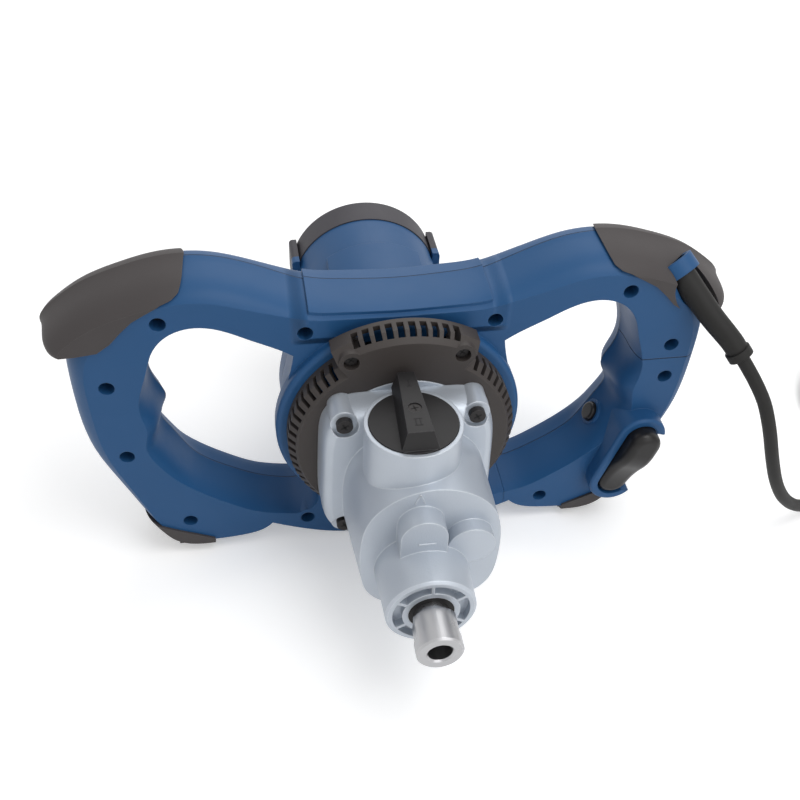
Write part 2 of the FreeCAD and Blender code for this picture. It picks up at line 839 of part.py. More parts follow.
front = front.fuse(gland).cut(gland_bore)
front = front.cut(block(-frame_half_width, frame_half_width, 0, region_reach, floor_z, frame_half_height))
cover_far_x = frame_half_width + overrun
cover_low_z = 2 * floor_z
cover_zone = block(cover_seam_x, cover_far_x, -region_reach, 0, cover_low_z, cover_seam_z)
cover_room = block(
    cover_seam_x - cover_seam_gap, cover_far_x, -region_reach, 0, cover_low_z, cover_seam_z + cover_seam_gap
)
cover = front.common(cover_zone).multiFuse([guard, lock_collar])
cover = cover.cut(Part.makeCompound([trigger_slot, trigger_pocket, lock_hole, lock_seat]))
save("gear_side_shell", front.cut(cover_room))
save("switch_cover", cover)


# Vent ring round the gearbox foot
def wedge(half_angle, radius, y_from, y_to):
    lean = math.radians(half_angle)
    side = radius / math.cos(lean)
    points = [(0, 0), (-side * math.sin(lean), radius), (side * math.sin(lean), radius)]
    return prism(points, y_from, y_to)


ring_inner_y = ring_face_y + ring_wall


def bevelled_disc(radius, y_front):
    # A disc up to the central plate whose front edge is bevelled
    bevel_end_y = y_front + ring_bevel_depth
    cone = Part.makeCone(radius - ring_bevel, radius, ring_bevel_depth, V(0, y_front, 0), V(0, 1, 0))
    return cone.fuse(rod(radius, bevel_end_y, plate_face_y))


ring_bore = rod(ring_hole_radius, ring_face_y - overrun, plate_face_y)
ring_hollow = bevelled_disc(ring_radius - ring_wall, ring_inner_y)
ring = bevelled_disc(ring_radius, ring_face_y).cut(ring_hollow).cut(ring_bore)
top_zone = wedge(ring_top_half_angle, 2 * ring_top_radius, ring_face_y - overrun, plate_face_y + overrun)
top_inner_angle = ring_top_half_angle - ring_top_side_angle
top_inner = wedge(top_inner_angle, 2 * ring_top_radius, ring_inner_y, plate_face_y)
hood = bevelled_disc(ring_top_radius, ring_face_y).common(top_zone)
hood_hollow = bevelled_disc(ring_top_radius - ring_wall, ring_inner_y).common(top_inner)
hood = hood.cut(hood_hollow).cut(rod(ring_hole_radius, ring_face_y - overrun, plate_face_y + overrun))
ring = ring.cut(hood_hollow)
ring_screw_places = [(side * ring_screw_x, ring_screw_z) for side in (-1, 1)]
ring_posts = [rod(ring_boss_radius, ring_face_y, plate_face_y, at) for at in ring_screw_places]
ring = ring.multiFuse([hood] + ring_posts)
slot_front_y = ring_face_y + ring_slot_land
slot_rear_y = plate_face_y - ring_slot_land
hood_step = 2 * (ring_top_half_angle - ring_top_side_angle) / (ring_top_slots + 1)
hood_slot_width = math.radians(hood_step) * ring_top_radius * ring_top_slot_share
hood_slot = block(
    -hood_slot_width / 2,
    hood_slot_width / 2,
    slot_front_y,
    slot_rear_y,
    ring_top_radius - 2 * ring_wall,
    ring_top_radius + overrun,
)
hood_slots = [turned(hood_slot, hood_step * (i - (ring_top_slots - 1) / 2)) for i in range(ring_top_slots)]
side_slot = block(
    -ring_side_slot_width / 2,
    ring_side_slot_width / 2,
    ring_face_y + ring_slot_front,
    slot_rear_y,
    ring_radius - ring_bevel - ring_wall,
    ring_radius + overrun,
)
side_start = ring_top_half_angle + ring_top_side_angle
side_step = (360 - 2 * side_start) / (ring_side_slots - 1)
side_slots = [turned(side_slot, side_start + side_step * i) for i in range(ring_side_slots)]
ring = ring.cut(Part.makeCompound(hood_slots)).cut(Part.makeCompound(side_slots))
ring_seat_y = ring_face_y + ring_screw_sink
ring_screw_holes = [
    rod(screw_counterbore_radius, ring_face_y - overrun, ring_seat_y, at).fuse(
        rod(screw_shank_radius + seat_gap, ring_seat_y, plate_face_y + overrun, at)
    )
    for at in ring_screw_places
]
ring = ring.cut(Part.makeCompound(ring_screw_holes))
save("vent_ring", ring)
ring_screw_end_y = front_face_y + frame_wall
ring_screws = [
    rod(screw_head_radius, ring_seat_y - screw_head_height, ring_seat_y, at).fuse(
        rod(screw_shank_radius, ring_seat_y, ring_screw_end_y, at)
    )
    for at in ring_screw_places
]
save("ring_screws", Part.makeCompound(ring_screws))
ring_thread_holes = [
    rod(screw_shank_radius + press_gap, plate_face_y - overrun, ring_screw_end_y + overrun, at)
    for at in ring_screw_places
]
nodes["gear_side_shell"] = nodes["gear_side_shell"].cut(Part.makeCompound(ring_thread_holes))


# Bearings are plain rings with a shallow groove in each face
def bearing(sizes, y_front, at=(0, 0)):
    bore, outer, width = sizes
    inset = (outer - bore) * bearing_groove_share
    y_rear = y_front + width
    ring_form = tube(outer, bore + running_gap, y_front, y_rear, at)
    grooves = [
        tube(outer - inset, bore + inset, y_front - overrun, y_front + bearing_groove_depth, at),
        tube(outer - inset, bore + inset, y_rear - bearing_groove_depth, y_rear + overrun, at),
    ]
    return ring_form.cut(Part.makeCompound(grooves))


# Motor housing with its flange, rear wall and the posts for the gearbox screws
barrel_inner = barrel_radius - barrel_wall
flange_back_y = plate_face_y + barrel_flange_depth
rear_wall_y = cap_front_y - rear_wall_inset - rear_wall
hub_front_y = rear_wall_y - rear_hub_depth
tab_in_x = barrel_inner
tab_out_x = barrel_radius + tab_width - barrel_wall
tab_low_z = ear_screw_top_z - tab_height - motor_bore_gap
tab_front_y = cap_rear_y - tab_depth
ear_places = [(side * ear_screw_x, z) for side in (-1, 1) for z in (ear_screw_top_z, ear_screw_low_z)]
ear_anchor_end_y = plate_face_y - ear_anchor_sink
cap_screw_offset = cap_screw_circle / math.sqrt(2)
cap_places = [(x * cap_screw_offset, z * cap_screw_offset) for x in (-1, 1) for z in (-1, 1)]


def side_tabs(y_from, y_to):
    tab_top_z = tab_low_z + tab_height
    tab = block(tab_in_x, tab_out_x, y_from, y_to, tab_low_z - tab_height / 2, tab_top_z - tab_height / 2)
    outer_edges = [e for e in tab.Edges if e.BoundBox.XMin > tab_out_x - rim_tolerance]
    long_edges = [e for e in outer_edges if e.BoundBox.ZMax - e.BoundBox.ZMin < rim_tolerance]
    tab = tab.makeFillet(tab_round, long_edges)
    return [tab, mirrored(tab)]


barrel_panel = rod(barrel_radius + barrel_panel_rise, 0, cap_front_y).common(
    block(
        -barrel_panel_half_width,
        barrel_panel_half_width,
        frame_rear_depth + seat_gap,
        frame_rear_depth + barrel_panel_length,
        0,
        2 * barrel_radius,
    )
)
housing = fused(
    [
        rod(barrel_radius, plate_face_y, cap_front_y),
        rod(barrel_flange_radius, plate_face_y, flange_back_y),
        barrel_panel,
    ]
    + side_tabs(tab_front_y, cap_front_y)
)
housing = housing.cut(rod(barrel_inner, plate_face_y - overrun, rear_wall_y))
housing = housing.cut(rod(barrel_inner, rear_wall_y + rear_wall, cap_front_y + overrun))
rear_hole = rod(rear_wall_hole_radius, rear_wall_y - overrun, cap_front_y, (rear_wall_hole_circle, 0))
housing = housing.cut(Part.makeCompound(ring_of(rear_hole, rear_wall_holes)))
housing = housing.multiFuse(
    [rod(rear_hub_radius, hub_front_y, rear_wall_y)]
    + [rod(cap_boss_radius, rear_wall_y, cap_front_y, at) for at in cap_places]
    + [rod(ear_anchor_radius, ear_anchor_end_y, plate_face_y, at) for at in ear_places]
)
rear_bearing_y = hub_front_y
hub_seat_end_y = hub_front_y + motor_rear_bearing[2]
housing = housing.cut(rod(motor_rear_bearing[1] + press_gap, hub_front_y - overrun, hub_seat_end_y))
housing = housing.cut(rod(motor_rear_bearing[0] + seat_gap, hub_front_y, cap_front_y))
cap_thread_end_y = rear_wall_y + overrun
cap_hole_radius = screw_shank_radius + press_gap
ear_hole_radius = ear_shank_radius + press_gap
cap_holes = [rod(cap_hole_radius, cap_thread_end_y, cap_front_y + overrun, at) for at in cap_places]
ear_holes = [rod(ear_hole_radius, ear_anchor_end_y - overrun, plate_face_y, at) for at in ear_places]
housing = housing.cut(Part.makeCompound(cap_holes + ear_holes))
save("motor_housing", housing)
save("motor_rear_bearing", bearing(motor_rear_bearing, rear_bearing_y))

# End cap with its air slots and screws
cap_radius = barrel_radius + cap_rise
cap = tube(cap_radius, cap_radius - cap_wall, cap_front_y, cap_rear_y).multiFuse(
    [rod(cap_radius, cap_rear_y - cap_wall, cap_rear_y)]
    + side_tabs(cap_front_y, cap_rear_y)
    + [rod(cap_boss_radius, cap_front_y, cap_rear_y, at) for at in cap_places]
)
cap_slot = block(
    cap_slot_centre - cap_slot_length / 2,
    cap_slot_centre + cap_slot_length / 2,
    cap_rear_y - 2 * cap_wall,
    cap_rear_y + overrun,
    -cap_slot_width / 2,
    cap_slot_width / 2,
)
cap_screw_seat_y = cap_rear_y - screw_head_height
cap_holes = [
    rod(screw_counterbore_radius, cap_screw_seat_y, cap_rear_y + overrun, at).fuse(
        rod(screw_shank_radius + seat_gap, cap_front_y - overrun, cap_screw_seat_y, at)
    )
    for at in cap_places
]
cap = cap.cut(Part.makeCompound(ring_of(cap_slot, cap_slots))).cut(Part.makeCompound(cap_holes))
save("motor_end_cap", cap)
cap_screws = [
    rod(screw_head_radius, cap_screw_seat_y, cap_rear_y, at).fuse(
        rod(screw_shank_radius, cap_thread_end_y + overrun, cap_screw_seat_y, at)
    )
    for at in cap_places
]
save("end_cap_screws", Part.makeCompound(cap_screws))

# Motor inside the housing
stator_front_y = front_face_y + stator_front
stator_rear_y = stator_front_y + stator_length
stator_radius = barrel_inner - stator_gap
save("stator_core", tube(stator_radius, stator_bore_radius, stator_front_y, stator_rear_y))
winding_front_y = stator_front_y - winding_length
winding_rear_y = stator_rear_y + winding_length
save(
    "stator_windings",
    Part.makeCompound(
        [
            tube(winding_outer_radius, winding_inner_radius, winding_front_y, stator_front_y),
            tube(winding_outer_radius, winding_inner_radius, stator_rear_y, winding_rear_y),
        ]
    ),
)
armature_radius = stator_bore_radius - armature_gap
armature_slot = block(
    -armature_slot_width / 2,
    armature_slot_width / 2,
    stator_front_y - overrun,
    stator_rear_y + overrun,
    armature_radius - armature_slot_depth,
    armature_radius + overrun,
)
armature = tube(armature_radius, shaft_radius + press_gap, stator_front_y, stator_rear_y)
save("armature_core", armature.cut(Part.makeCompound(ring_of(armature_slot, armature_slots))))
commutator_y = stator_rear_y + commutator_offset
commutator_end_y = commutator_y + commutator_length
save(
    "armature_windings",
    Part.makeCompound(
        [
            tube(
                armature_winding_radius,
                shaft_radius + press_gap,
                stator_front_y - armature_winding_length,
                stator_front_y,
            ),
            tube(
                armature_winding_radius,
                shaft_radius + press_gap,
                stator_rear_y,
                stator_rear_y + armature_winding_length,
            ),
        ]
    ),
)
save("commutator", tube(commutator_radius, shaft_radius + press_gap, commutator_y, commutator_end_y))
fan_y = plate_face_y + fan_front_gap
fan_rear_y = fan_y + fan_depth
fan_blade = block(-fan_blade_wall / 2, fan_blade_wall / 2, fan_y, fan_rear_y, 0, fan_radius)
fan_hub = rod(fan_hub_radius, fan_y, fan_rear_y)
fan = fused([fan_hub, rod(fan_radius, fan_rear_y - fan_disc, fan_rear_y)] + ring_of(fan_blade, fan_blades))
fan = fan.common(rod(fan_radius, fan_y, fan_y + fan_depth))
save("cooling_fan", fan.cut(rod(shaft_radius + press_gap, fan_y - overrun, fan_y + fan_depth + overrun)))

# Brush holders, brushes and springs on both sides of the commutator
brush_y = (commutator_y + commutator_end_y) / 2
brush_from_x = commutator_radius + brush_gap
brush_to_x = brush_from_x + brush_length
spring_to_x = brush_to_x + brush_spring_length
holder_from_x = brush_from_x + brush_length / 4
holder_half_height = brush_width / 2 + brush_gap + brush_holder_wall
holder_to_x = math.sqrt(barrel_inner ** 2 - holder_half_height ** 2) - brush_gap


def brush_block(x_from, x_to, grow):
    half_depth = brush_height / 2 + grow
    half_height = brush_width / 2 + grow
    return block(x_from, x_to, brush_y - half_depth, brush_y + half_depth, -half_height, half_height)


holder = brush_block(holder_from_x, holder_to_x, brush_gap + brush_holder_wall)
holder = holder.cut(brush_block(holder_from_x - overrun, spring_to_x + brush_gap, brush_gap))
brush = brush_block(brush_from_x, brush_to_x, 0)
brush_spring_radius = brush_width / 2 - brush_gap
spring_foot = V(brush_to_x, brush_y, 0)
spring_bore = brush_spring_radius - trigger_spring_wire
brush_spring = Part.makeCylinder(brush_spring_radius, brush_spring_length, spring_foot, V(1, 0, 0))
brush_spring = brush_spring.cut(Part.makeCylinder(spring_bore, brush_spring_length, spring_foot, V(1, 0, 0)))
save("brush_holders", Part.makeCompound([holder, mirrored(holder)]))
save("carbon_brushes", Part.makeCompound([brush, mirrored(brush)]))
save("brush_springs", Part.makeCompound([brush_spring, mirrored(brush_spring)]))


# Gears with straight-cut involute teeth, thinned for backlash
def stage_distance(stage):
    return stage[0] * (stage[1] + stage[2]) / 2


def tooth_outline(module, teeth, shift, phase):
    lean = math.radians(pressure_angle)
    pitch = module * teeth / 2
    base = pitch * math.cos(lean)
    tip = pitch + module * (tooth_top_share + shift)
    root = pitch - module * (tooth_root_share - shift)
    form = max(base, root)
    half = (math.pi / 2 + 2 * shift * math.tan(lean)) / teeth - tooth_thin_share * module / pitch

    def spread(radius):
        angle = math.acos(min(base / radius, 1))
        return half + math.tan(lean) - lean - math.tan(angle) + angle

    middle_radius = (form + tip) / 2
    flank = [(root, spread(form))] + [(radius, spread(radius)) for radius in (form, middle_radius, tip)]
    if form == root:
        flank = flank[1:]
    points = []
    for i in range(teeth):
        middle = phase + 2 * math.pi * i / teeth
        both = [(r, middle - a) for r, a in flank] + [(r, middle + a) for r, a in flank[::-1]]
        points += [(r * math.cos(a), r * math.sin(a)) for r, a in both]
    return points


def gear(module, teeth, shift, phase, y_from, y_to, at=(0, 0)):
    outline = tooth_outline(module, teeth, shift, phase)
    return prism([(at[0] + x, at[1] + z) for x, z in outline], y_from, y_to)


def mate_phase(stage, driver_phase, direction):
    lag = direction - driver_phase
    return direction + math.pi + math.pi / stage[2] + lag * stage[1] / stage[2]


first_shift, low_shift, high_shift, output_shift = tooth_shifts
lay_direction = math.radians(layshaft_angle)
lay_reach = stage_distance(first_stage)
layshaft_at = (lay_reach * math.cos(lay_direction), lay_reach * math.sin(lay_direction))
back_direction = lay_direction + math.pi
spindle_at = (0, -stage_distance(output_stage))

# Places along the gearbox, from the motor towards the spindle
first_rear_y = ring_face_y - gear_space
first_front_y = first_rear_y - first_gear_width
inner_plate_rear_y = first_front_y - gear_space
inner_plate_front_y = inner_plate_rear_y - inner_plate_depth
high_rear_y = inner_plate_front_y - gear_space
high_front_y = high_rear_y - change_gear_width
dial_y = ring_face_y - dial_offset
sleeve_middle_y = dial_y - dial_pin_reach
sleeve_rear_y = sleeve_middle_y + sleeve_length / 2
sleeve_front_y = sleeve_middle_y - sleeve_length / 2
low_rear_y = sleeve_front_y - dog_height - dog_gap
low_front_y = low_rear_y - change_gear_width
output_rear_y = low_front_y - gear_space
output_front_y = output_rear_y - output_gear_width
wall_inner_y = shoulder_y + gearbox_wall

# Motor shaft with its pinion
plate_rear_y = ring_face_y + gearbox_plate_depth
plate_hub_end_y = plate_rear_y + plate_hub_depth
front_bearing_y = plate_hub_end_y - motor_front_bearing[2]
shaft_rear_y = rear_bearing_y - gear_space
motor_shaft = rod(shaft_radius, ring_face_y, shaft_rear_y).multiFuse(
    [
        rod(shaft_rear_radius, shaft_rear_y, rear_bearing_y + motor_rear_bearing[2]),
        gear(first_stage[0], first_stage[1], first_shift, 0, first_front_y, ring_face_y),
    ]
)
save("armature_shaft", motor_shaft)
save("motor_front_bearing", bearing(motor_front_bearing, front_bearing_y))

# Gearbox plate between motor and gears, with slots that let the cooling air out
plate_skirt_slot = block(
    -plate_slot_width / 2,
    plate_slot_width / 2,
    plate_rear_y,
    plate_face_y - overrun,
    0,
    2 * gearbox_plate_radius,
)
skirt = tube(gearbox_plate_radius, gearbox_plate_radius - plate_skirt_wall, plate_rear_y, plate_face_y)
skirt = skirt.cut(Part.makeCompound(ring_of(plate_skirt_slot, plate_slots, 180 / plate_slots)))
gearbox_plate = rod(gearbox_plate_radius, ring_face_y, plate_rear_y).multiFuse(
    [skirt, rod(plate_hub_radius, plate_rear_y, plate_hub_end_y)]
)
lay_bearing_y = ring_face_y + small_bearing[2]
gearbox_plate = gearbox_plate.cut(
    Part.makeCompound(
        [
            rod(motor_front_bearing[1] + press_gap, front_bearing_y, plate_hub_end_y + overrun),
            rod(small_bearing[1] + press_gap, ring_face_y - overrun, lay_bearing_y, layshaft_at),
        ]
    )
)
gearbox_plate = gearbox_plate.cut(rod(pinion_hole_radius, ring_face_y - overrun, front_bearing_y + overrun))
anchor_room_radius = ear_anchor_radius + seat_gap
anchor_room = [rod(anchor_room_radius, ring_face_y - overrun, plate_face_y, at) for at in ear_places]
gearbox_plate = gearbox_plate.cut(Part.makeCompound(anchor_room))
save("gearbox_plate", gearbox_plate)

# Layshaft with its large gear and its two change pinions
small_bearing_y = wall_inner_y - small_bearing[2]
layshaft = rod(layshaft_end_radius, small_bearing_y, lay_bearing_y, layshaft_at).multiFuse(
    [
        rod(layshaft_radius, low_front_y, ring_face_y - seat_gap, layshaft_at),
        rod(layshaft_front_radius, wall_inner_y + seat_gap, low_front_y, layshaft_at),
        gear(low_stage[0], low_stage[1], low_shift, 0, low_front_y, low_rear_y, layshaft_at),
        gear(high_stage[0], high_stage[1], high_shift, 0, high_front_y, high_rear_y, layshaft_at),
    ]
)
save("layshaft", layshaft)
first_phase = mate_phase(first_stage, 0, lay_direction)
layshaft_gear = gear(
    first_stage[0], first_stage[2], -first_shift, first_phase, first_front_y, first_rear_y, layshaft_at
)
layshaft_bore = rod(layshaft_radius + press_gap, first_front_y, first_rear_y, layshaft_at)
save("layshaft_gear", layshaft_gear.cut(layshaft_bore))

# Change shaft with the free high gear, the fixed low gear and the sliding sleeve between them
change_rear_y = inner_plate_rear_y - seat_gap
flat_x = change_shaft_radius * change_flat_share
high_dogs_y = high_front_y - dog_height
low_dogs_y = low_rear_y + dog_height
flat_room = block(
    flat_x, 2 * change_shaft_radius, low_dogs_y, high_dogs_y, -change_shaft_radius, change_shaft_radius
)
change_shaft = rod(change_shaft_radius, output_front_y, change_rear_y)
change_shaft = change_shaft.cut(flat_room).cut(mirrored(flat_room))
change_shaft = change_shaft.multiFuse(
    [
        rod(change_shaft_end_radius, small_bearing_y, output_front_y),
        gear(output_stage[0], output_stage[1], output_shift, 0, output_front_y, output_rear_y),
    ]
)
save("change_shaft", change_shaft)


def dogs(y_from, y_to, start):
    ring_form = tube(dog_outer_radius, dog_inner_radius, y_from, y_to)
    claw = ring_form.common(wedge(dog_half_angle, 2 * dog_outer_radius, y_from, y_to))
    return ring_of(claw, dog_count, start)


dog_turn = 180.0 / dog_count
low_phase = mate_phase(low_stage, 0, back_direction)
high_phase = mate_phase(high_stage, 0, back_direction)
low_gear = gear(low_stage[0], low_stage[2], -low_shift, low_phase, low_front_y, low_rear_y)
low_gear = low_gear.multiFuse(dogs(low_rear_y, low_dogs_y, dog_turn))
low_bore = rod(change_shaft_radius + press_gap, low_front_y - overrun, low_dogs_y + overrun)
save("low_gear", low_gear.cut(low_bore))
high_gear = gear(high_stage[0], high_stage[2], -high_shift, high_phase, high_front_y, high_rear_y)
high_gear = high_gear.multiFuse(dogs(high_dogs_y, high_front_y, dog_turn))
high_bore = rod(change_shaft_radius + running_gap, high_dogs_y - overrun, high_rear_y + overrun)
save("high_gear", high_gear.cut(high_bore))
groove_half = dial_pin_radius + groove_clearance
groove_from_y = sleeve_middle_y - groove_half
groove_to_y = sleeve_middle_y + groove_half
fork_groove = tube(dog_outer_radius + overrun, sleeve_groove_radius, groove_from_y, groove_to_y)
front_dogs = dogs(sleeve_front_y - dog_height, sleeve_front_y, 0)
rear_dogs = dogs(sleeve_rear_y, sleeve_rear_y + dog_height, 0)
sleeve_body = rod(dog_outer_radius, sleeve_front_y, sleeve_rear_y).cut(fork_groove)
sleeve_body = sleeve_body.multiFuse(front_dogs + rear_dogs)
bore_flat_x = flat_x + running_gap
round_bore = rod(change_shaft_radius + running_gap, sleeve_front_y - overrun, sleeve_rear_y + overrun)
sleeve_bore = round_bore.common(
    block(
        -bore_flat_x,
        bore_flat_x,
        sleeve_front_y - overrun,
        sleeve_rear_y + overrun,
        -2 * change_shaft_radius,
        2 * change_shaft_radius,
    )
)
save("shift_sleeve", sleeve_body.cut(sleeve_bore))
save("change_shaft_rear_bearing", bearing(change_shaft_rear_bearing, inner_plate_front_y))
save(
    "small_bearings",
    Part.makeCompound(
        [
            bearing(small_bearing, ring_face_y, layshaft_at),
            bearing(small_bearing, small_bearing_y, layshaft_at),
            bearing(small_bearing, small_bearing_y),
        ]
    ),
)

# Output gear and spindle
inner_bearing_y = wall_inner_y - spindle_inner_bearing[2]
outer_bearing_y = neck_end_y + seal_depth
step_y = (inner_bearing_y + outer_bearing_y + spindle_outer_bearing[2]) / 2
head_rear_y = spindle_end_y + spindle_head_length
spindle = rod(spindle_rear_radius, output_rear_y, change_rear_y, spindle_at).multiFuse(
    [
        rod(spindle_radius, step_y, output_rear_y, spindle_at),
        rod(spindle_front_radius, head_rear_y, step_y, spindle_at),
        rod(spindle_head_radius, spindle_end_y, head_rear_y, spindle_at),
    ]
)
thread_end_y = spindle_end_y + spindle_thread_depth
spindle = spindle.cut(rod(spindle_thread_radius, spindle_end_y - overrun, thread_end_y, spindle_at))
spindle = spindle.makeChamfer(spindle_head_chamfer, edges_before(spindle, spindle_end_y))
spanner_cut = block(
    spindle_at[0] + spindle_flats / 2,
    spindle_at[0] + spindle_flats,
    head_rear_y - spindle_flat_length,
    head_rear_y,
    spindle_at[1] - spindle_head_radius,
    spindle_at[1] + spindle_head_radius,
)
save("output_spindle", spindle.cut(spanner_cut).cut(turned(spanner_cut, 180, spindle_at)))
output_phase = mate_phase(output_stage, 0, -math.pi / 2)
output_gear = gear(
    output_stage[0], output_stage[2], -output_shift, output_phase, output_front_y, output_rear_y, spindle_at
)
output_bore = rod(spindle_radius + press_gap, output_front_y, output_rear_y, spindle_at)
save("output_gear", output_gear.cut(output_bore))
clip_rear_y = output_rear_y + spindle_clip_width
save(
    "spindle_clip",
    tube(spindle_clip_radius, spindle_rear_radius + press_gap, output_rear_y, clip_rear_y, spindle_at),
)
save("spindle_rear_bearing", bearing(spindle_rear_bearing, inner_plate_front_y, spindle_at))
save("spindle_inner_bearing", bearing(spindle_inner_bearing, inner_bearing_y, spindle_at))
save("spindle_outer_bearing", bearing(spindle_outer_bearing, outer_bearing_y, spindle_at))
save(
    "spindle_seal",
    tube(seal_radius, spindle_front_radius + running_gap, neck_end_y, outer_bearing_y, spindle_at),
)


# Gearbox housing
def shifted(points, x):
    return [(px + x, pz) for px, pz in points]


def upright_outline(shares, half_width, half_height, drop):
    return both_sides(scaled(shares[::-1], half_width, half_height, (0, drop)))


flange_outline = upright_outline(flange_shares, flange_half_width, flange_half_height, flange_drop)
body_outline = upright_outline(body_shares, body_half_width, body_half_height, body_drop)
shoulder_outline = upright_outline(body_shares, shoulder_half_width, shoulder_half_height, shoulder_drop)


def flange_form(growth, y_start):
    wires = []
    for depth, inset in flange_section_shares:
        points = grown(flange_outline, growth - inset * flange_round)
        wires.append(closed_wire(points, y_start - depth * (flange_depth + growth + y_start - ring_face_y)))
    return lofted(wires)


def body_form(growth):
    start = closed_wire(shifted(grown(body_outline, growth), body_centre_x), ring_face_y - body_start_depth)
    end = closed_wire(shifted(grown(shoulder_outline, growth), shoulder_centre_x), shoulder_y - growth)
    return Part.makeLoft([start, end], True, True)


dial_at = (dial_x, dial_y)
dial_room_radius = dial_radius + dial_gap
dial_boss_radius = dial_room_radius + dial_boss_wall
dial_low_z = dial_level - dial_depth
dial_floor_z = dial_low_z - dial_gap
dial_floor_low_z = dial_floor_z - dial_floor
boss_one_at = (boss_one_x, boss_one_z)
boss_two_at = (layshaft_at[0] + boss_two_shift, layshaft_at[1])
boss_one_y = shoulder_y - boss_one_height
boss_two_y = shoulder_y - boss_two_height
ear_seat_y = ring_face_y - ear_seat_depth
neck = Part.makeCone(
    neck_end_radius, neck_radius, neck_length, V(spindle_at[0], neck_end_y, spindle_at[1]), V(0, 1, 0)
)
neck = neck.makeChamfer(neck_chamfer, edges_before(neck, neck_end_y))
boss_one_web = block(
    boss_one_x - boss_one_radius,
    boss_one_x + boss_one_radius,
    boss_one_y,
    shoulder_y,
    spindle_at[1],
    boss_one_z,
)
outer_body = flange_form(0, ring_face_y).multiFuse(
    [
        body_form(0),
        post(dial_boss_radius, dial_boss_low, dial_level - mark_depth, dial_at),
        rod(boss_one_radius, boss_one_y, shoulder_y, boss_one_at),
        boss_one_web,
        rod(boss_two_radius, boss_two_y, shoulder_y, boss_two_at),
        neck,
    ]
    + [rod(ear_post_radius, ear_seat_y, ring_face_y, at) for at in ear_places]
)
hollow = flange_form(-gearbox_wall, ring_face_y + overrun).multiFuse(
    [body_form(-gearbox_wall), post(dial_boss_radius - dial_boss_inner_wall, 0, dial_floor_low_z, dial_at)]
)
ear_sleeves = [rod(ear_post_radius, ear_seat_y, ring_face_y + overrun, at) for at in ear_places]
hollow = hollow.cut(Part.makeCompound(ear_sleeves))
gearbox = outer_body.cut(hollow)
pocket_end_y = neck_end_y + neck_pocket_depth
pocket_ring = tube(neck_pocket_outer, neck_pocket_inner, neck_end_y - overrun, pocket_end_y, spindle_at)
neck_rib = block(
    -neck_rib_width / 2, neck_rib_width / 2, neck_end_y - overrun, pocket_end_y, 0, neck_pocket_outer
)
neck_rib.translate(V(spindle_at[0], 0, spindle_at[1]))
neck_ribs = [turned(neck_rib, 360.0 * i / neck_rib_count, spindle_at) for i in range(neck_rib_count)]
pocket_ring = pocket_ring.cut(Part.makeCompound(neck_ribs))
gearbox = gearbox.cut(
    Part.makeCompound(
        [
            rod(small_bearing[1] + press_gap, small_bearing_y, wall_inner_y + overrun),
            rod(small_bearing[1] + press_gap, small_bearing_y, wall_inner_y + overrun, layshaft_at),
            rod(spindle_inner_bearing[1] + press_gap, inner_bearing_y, wall_inner_y + overrun, spindle_at),
        ]
    )
)
gearbox = gearbox.cut(
    rod(spindle_outer_bearing[1] + press_gap, outer_bearing_y, inner_bearing_y + overrun, spindle_at)
)
seal_seat = rod(seal_radius + press_gap, neck_end_y - overrun, outer_bearing_y + overrun, spindle_at)
gearbox = gearbox.cut(seal_seat)
gearbox = gearbox.cut(pocket_ring)
gearbox = gearbox.cut(post(dial_room_radius, dial_floor_z, dial_level + overrun, dial_at))
gearbox = gearbox.cut(post(dial_stem_radius + running_gap, dial_floor_low_z - overrun, dial_level, dial_at))
ear_holes = [
    rod(ear_shank_radius + seat_gap, ear_seat_y - overrun, ring_face_y + overrun, at) for at in ear_places
]
gearbox = gearbox.cut(Part.makeCompound(ear_holes))
head_room = [rod(ear_post_radius, ear_seat_y - flange_depth, ear_seat_y, at) for at in ear_places]
gearbox = gearbox.cut(Part.makeCompound(head_room))
save("gearbox_housing", gearbox)
ear_screws = [
    rod(ear_head_radius, ear_seat_y - ear_head_height, ear_seat_y, at).fuse(
        rod(ear_shank_radius, ear_seat_y, plate_face_y - seat_gap, at)
    )
    for at in ear_places
]
save("gearbox_screws", Part.makeCompound(ear_screws))
ring_ear_holes = [
    rod(ear_shank_radius + seat_gap, ring_face_y - overrun, plate_face_y, at) for at in ear_places
]
ring_anchor_room = [rod(ear_anchor_radius + seat_gap, ring_inner_y, plate_face_y, at) for at in ear_places]
nodes["vent_ring"] = nodes["vent_ring"].cut(Part.makeCompound(ring_ear_holes))
nodes["vent_ring"] = nodes["vent_ring"].cut(Part.makeCompound(ring_anchor_room))

# Inner plate that carries the rear ends of the change shaft and the spindle
inner_plate = flange_form(-gearbox_wall - seat_gap, ring_face_y).common(
    block(
        -flange_half_width,
        flange_half_width,
        inner_plate_front_y,
        inner_plate_rear_y,
        -2 * flange_half_height,
        2 * flange_half_height,
    )
)


def plate_hole(radius, at=(0, 0)):
    return rod(radius, inner_plate_front_y - overrun, inner_plate_rear_y + overrun, at)


plate_holes = [
    plate_hole(change_shaft_rear_bearing[1] + press_gap),
    plate_hole(spindle_rear_bearing[1] + press_gap, spindle_at),
    plate_hole(layshaft_hole_radius, layshaft_at),
]
post_room = [plate_hole(ear_post_radius + seat_gap, at) for at in ear_places]
inner_plate = inner_plate.cut(Part.makeCompound(plate_holes))
save("inner_bearing_plate", inner_plate.cut(Part.makeCompound(post_room)))

# Speed dial with its stem, eccentric pin, screw and clip
dial_top_z = dial_level + knob_height
far_y = knob_length / 2 + knob_overhang
near_y = knob_length / 2 - knob_overhang


def knob_wire(grow, z):
    far_half = knob_far_width / 2 + grow
    near_half = knob_near_width / 2 + grow
    corners = [
        V(dial_x - near_half, dial_y - near_y - grow, z),
        V(dial_x + near_half, dial_y - near_y - grow, z),
        V(dial_x + far_half, dial_y + far_y, z),
        V(dial_x - far_half, dial_y + far_y, z),
    ]
    return Part.makePolygon(corners + corners[:1])


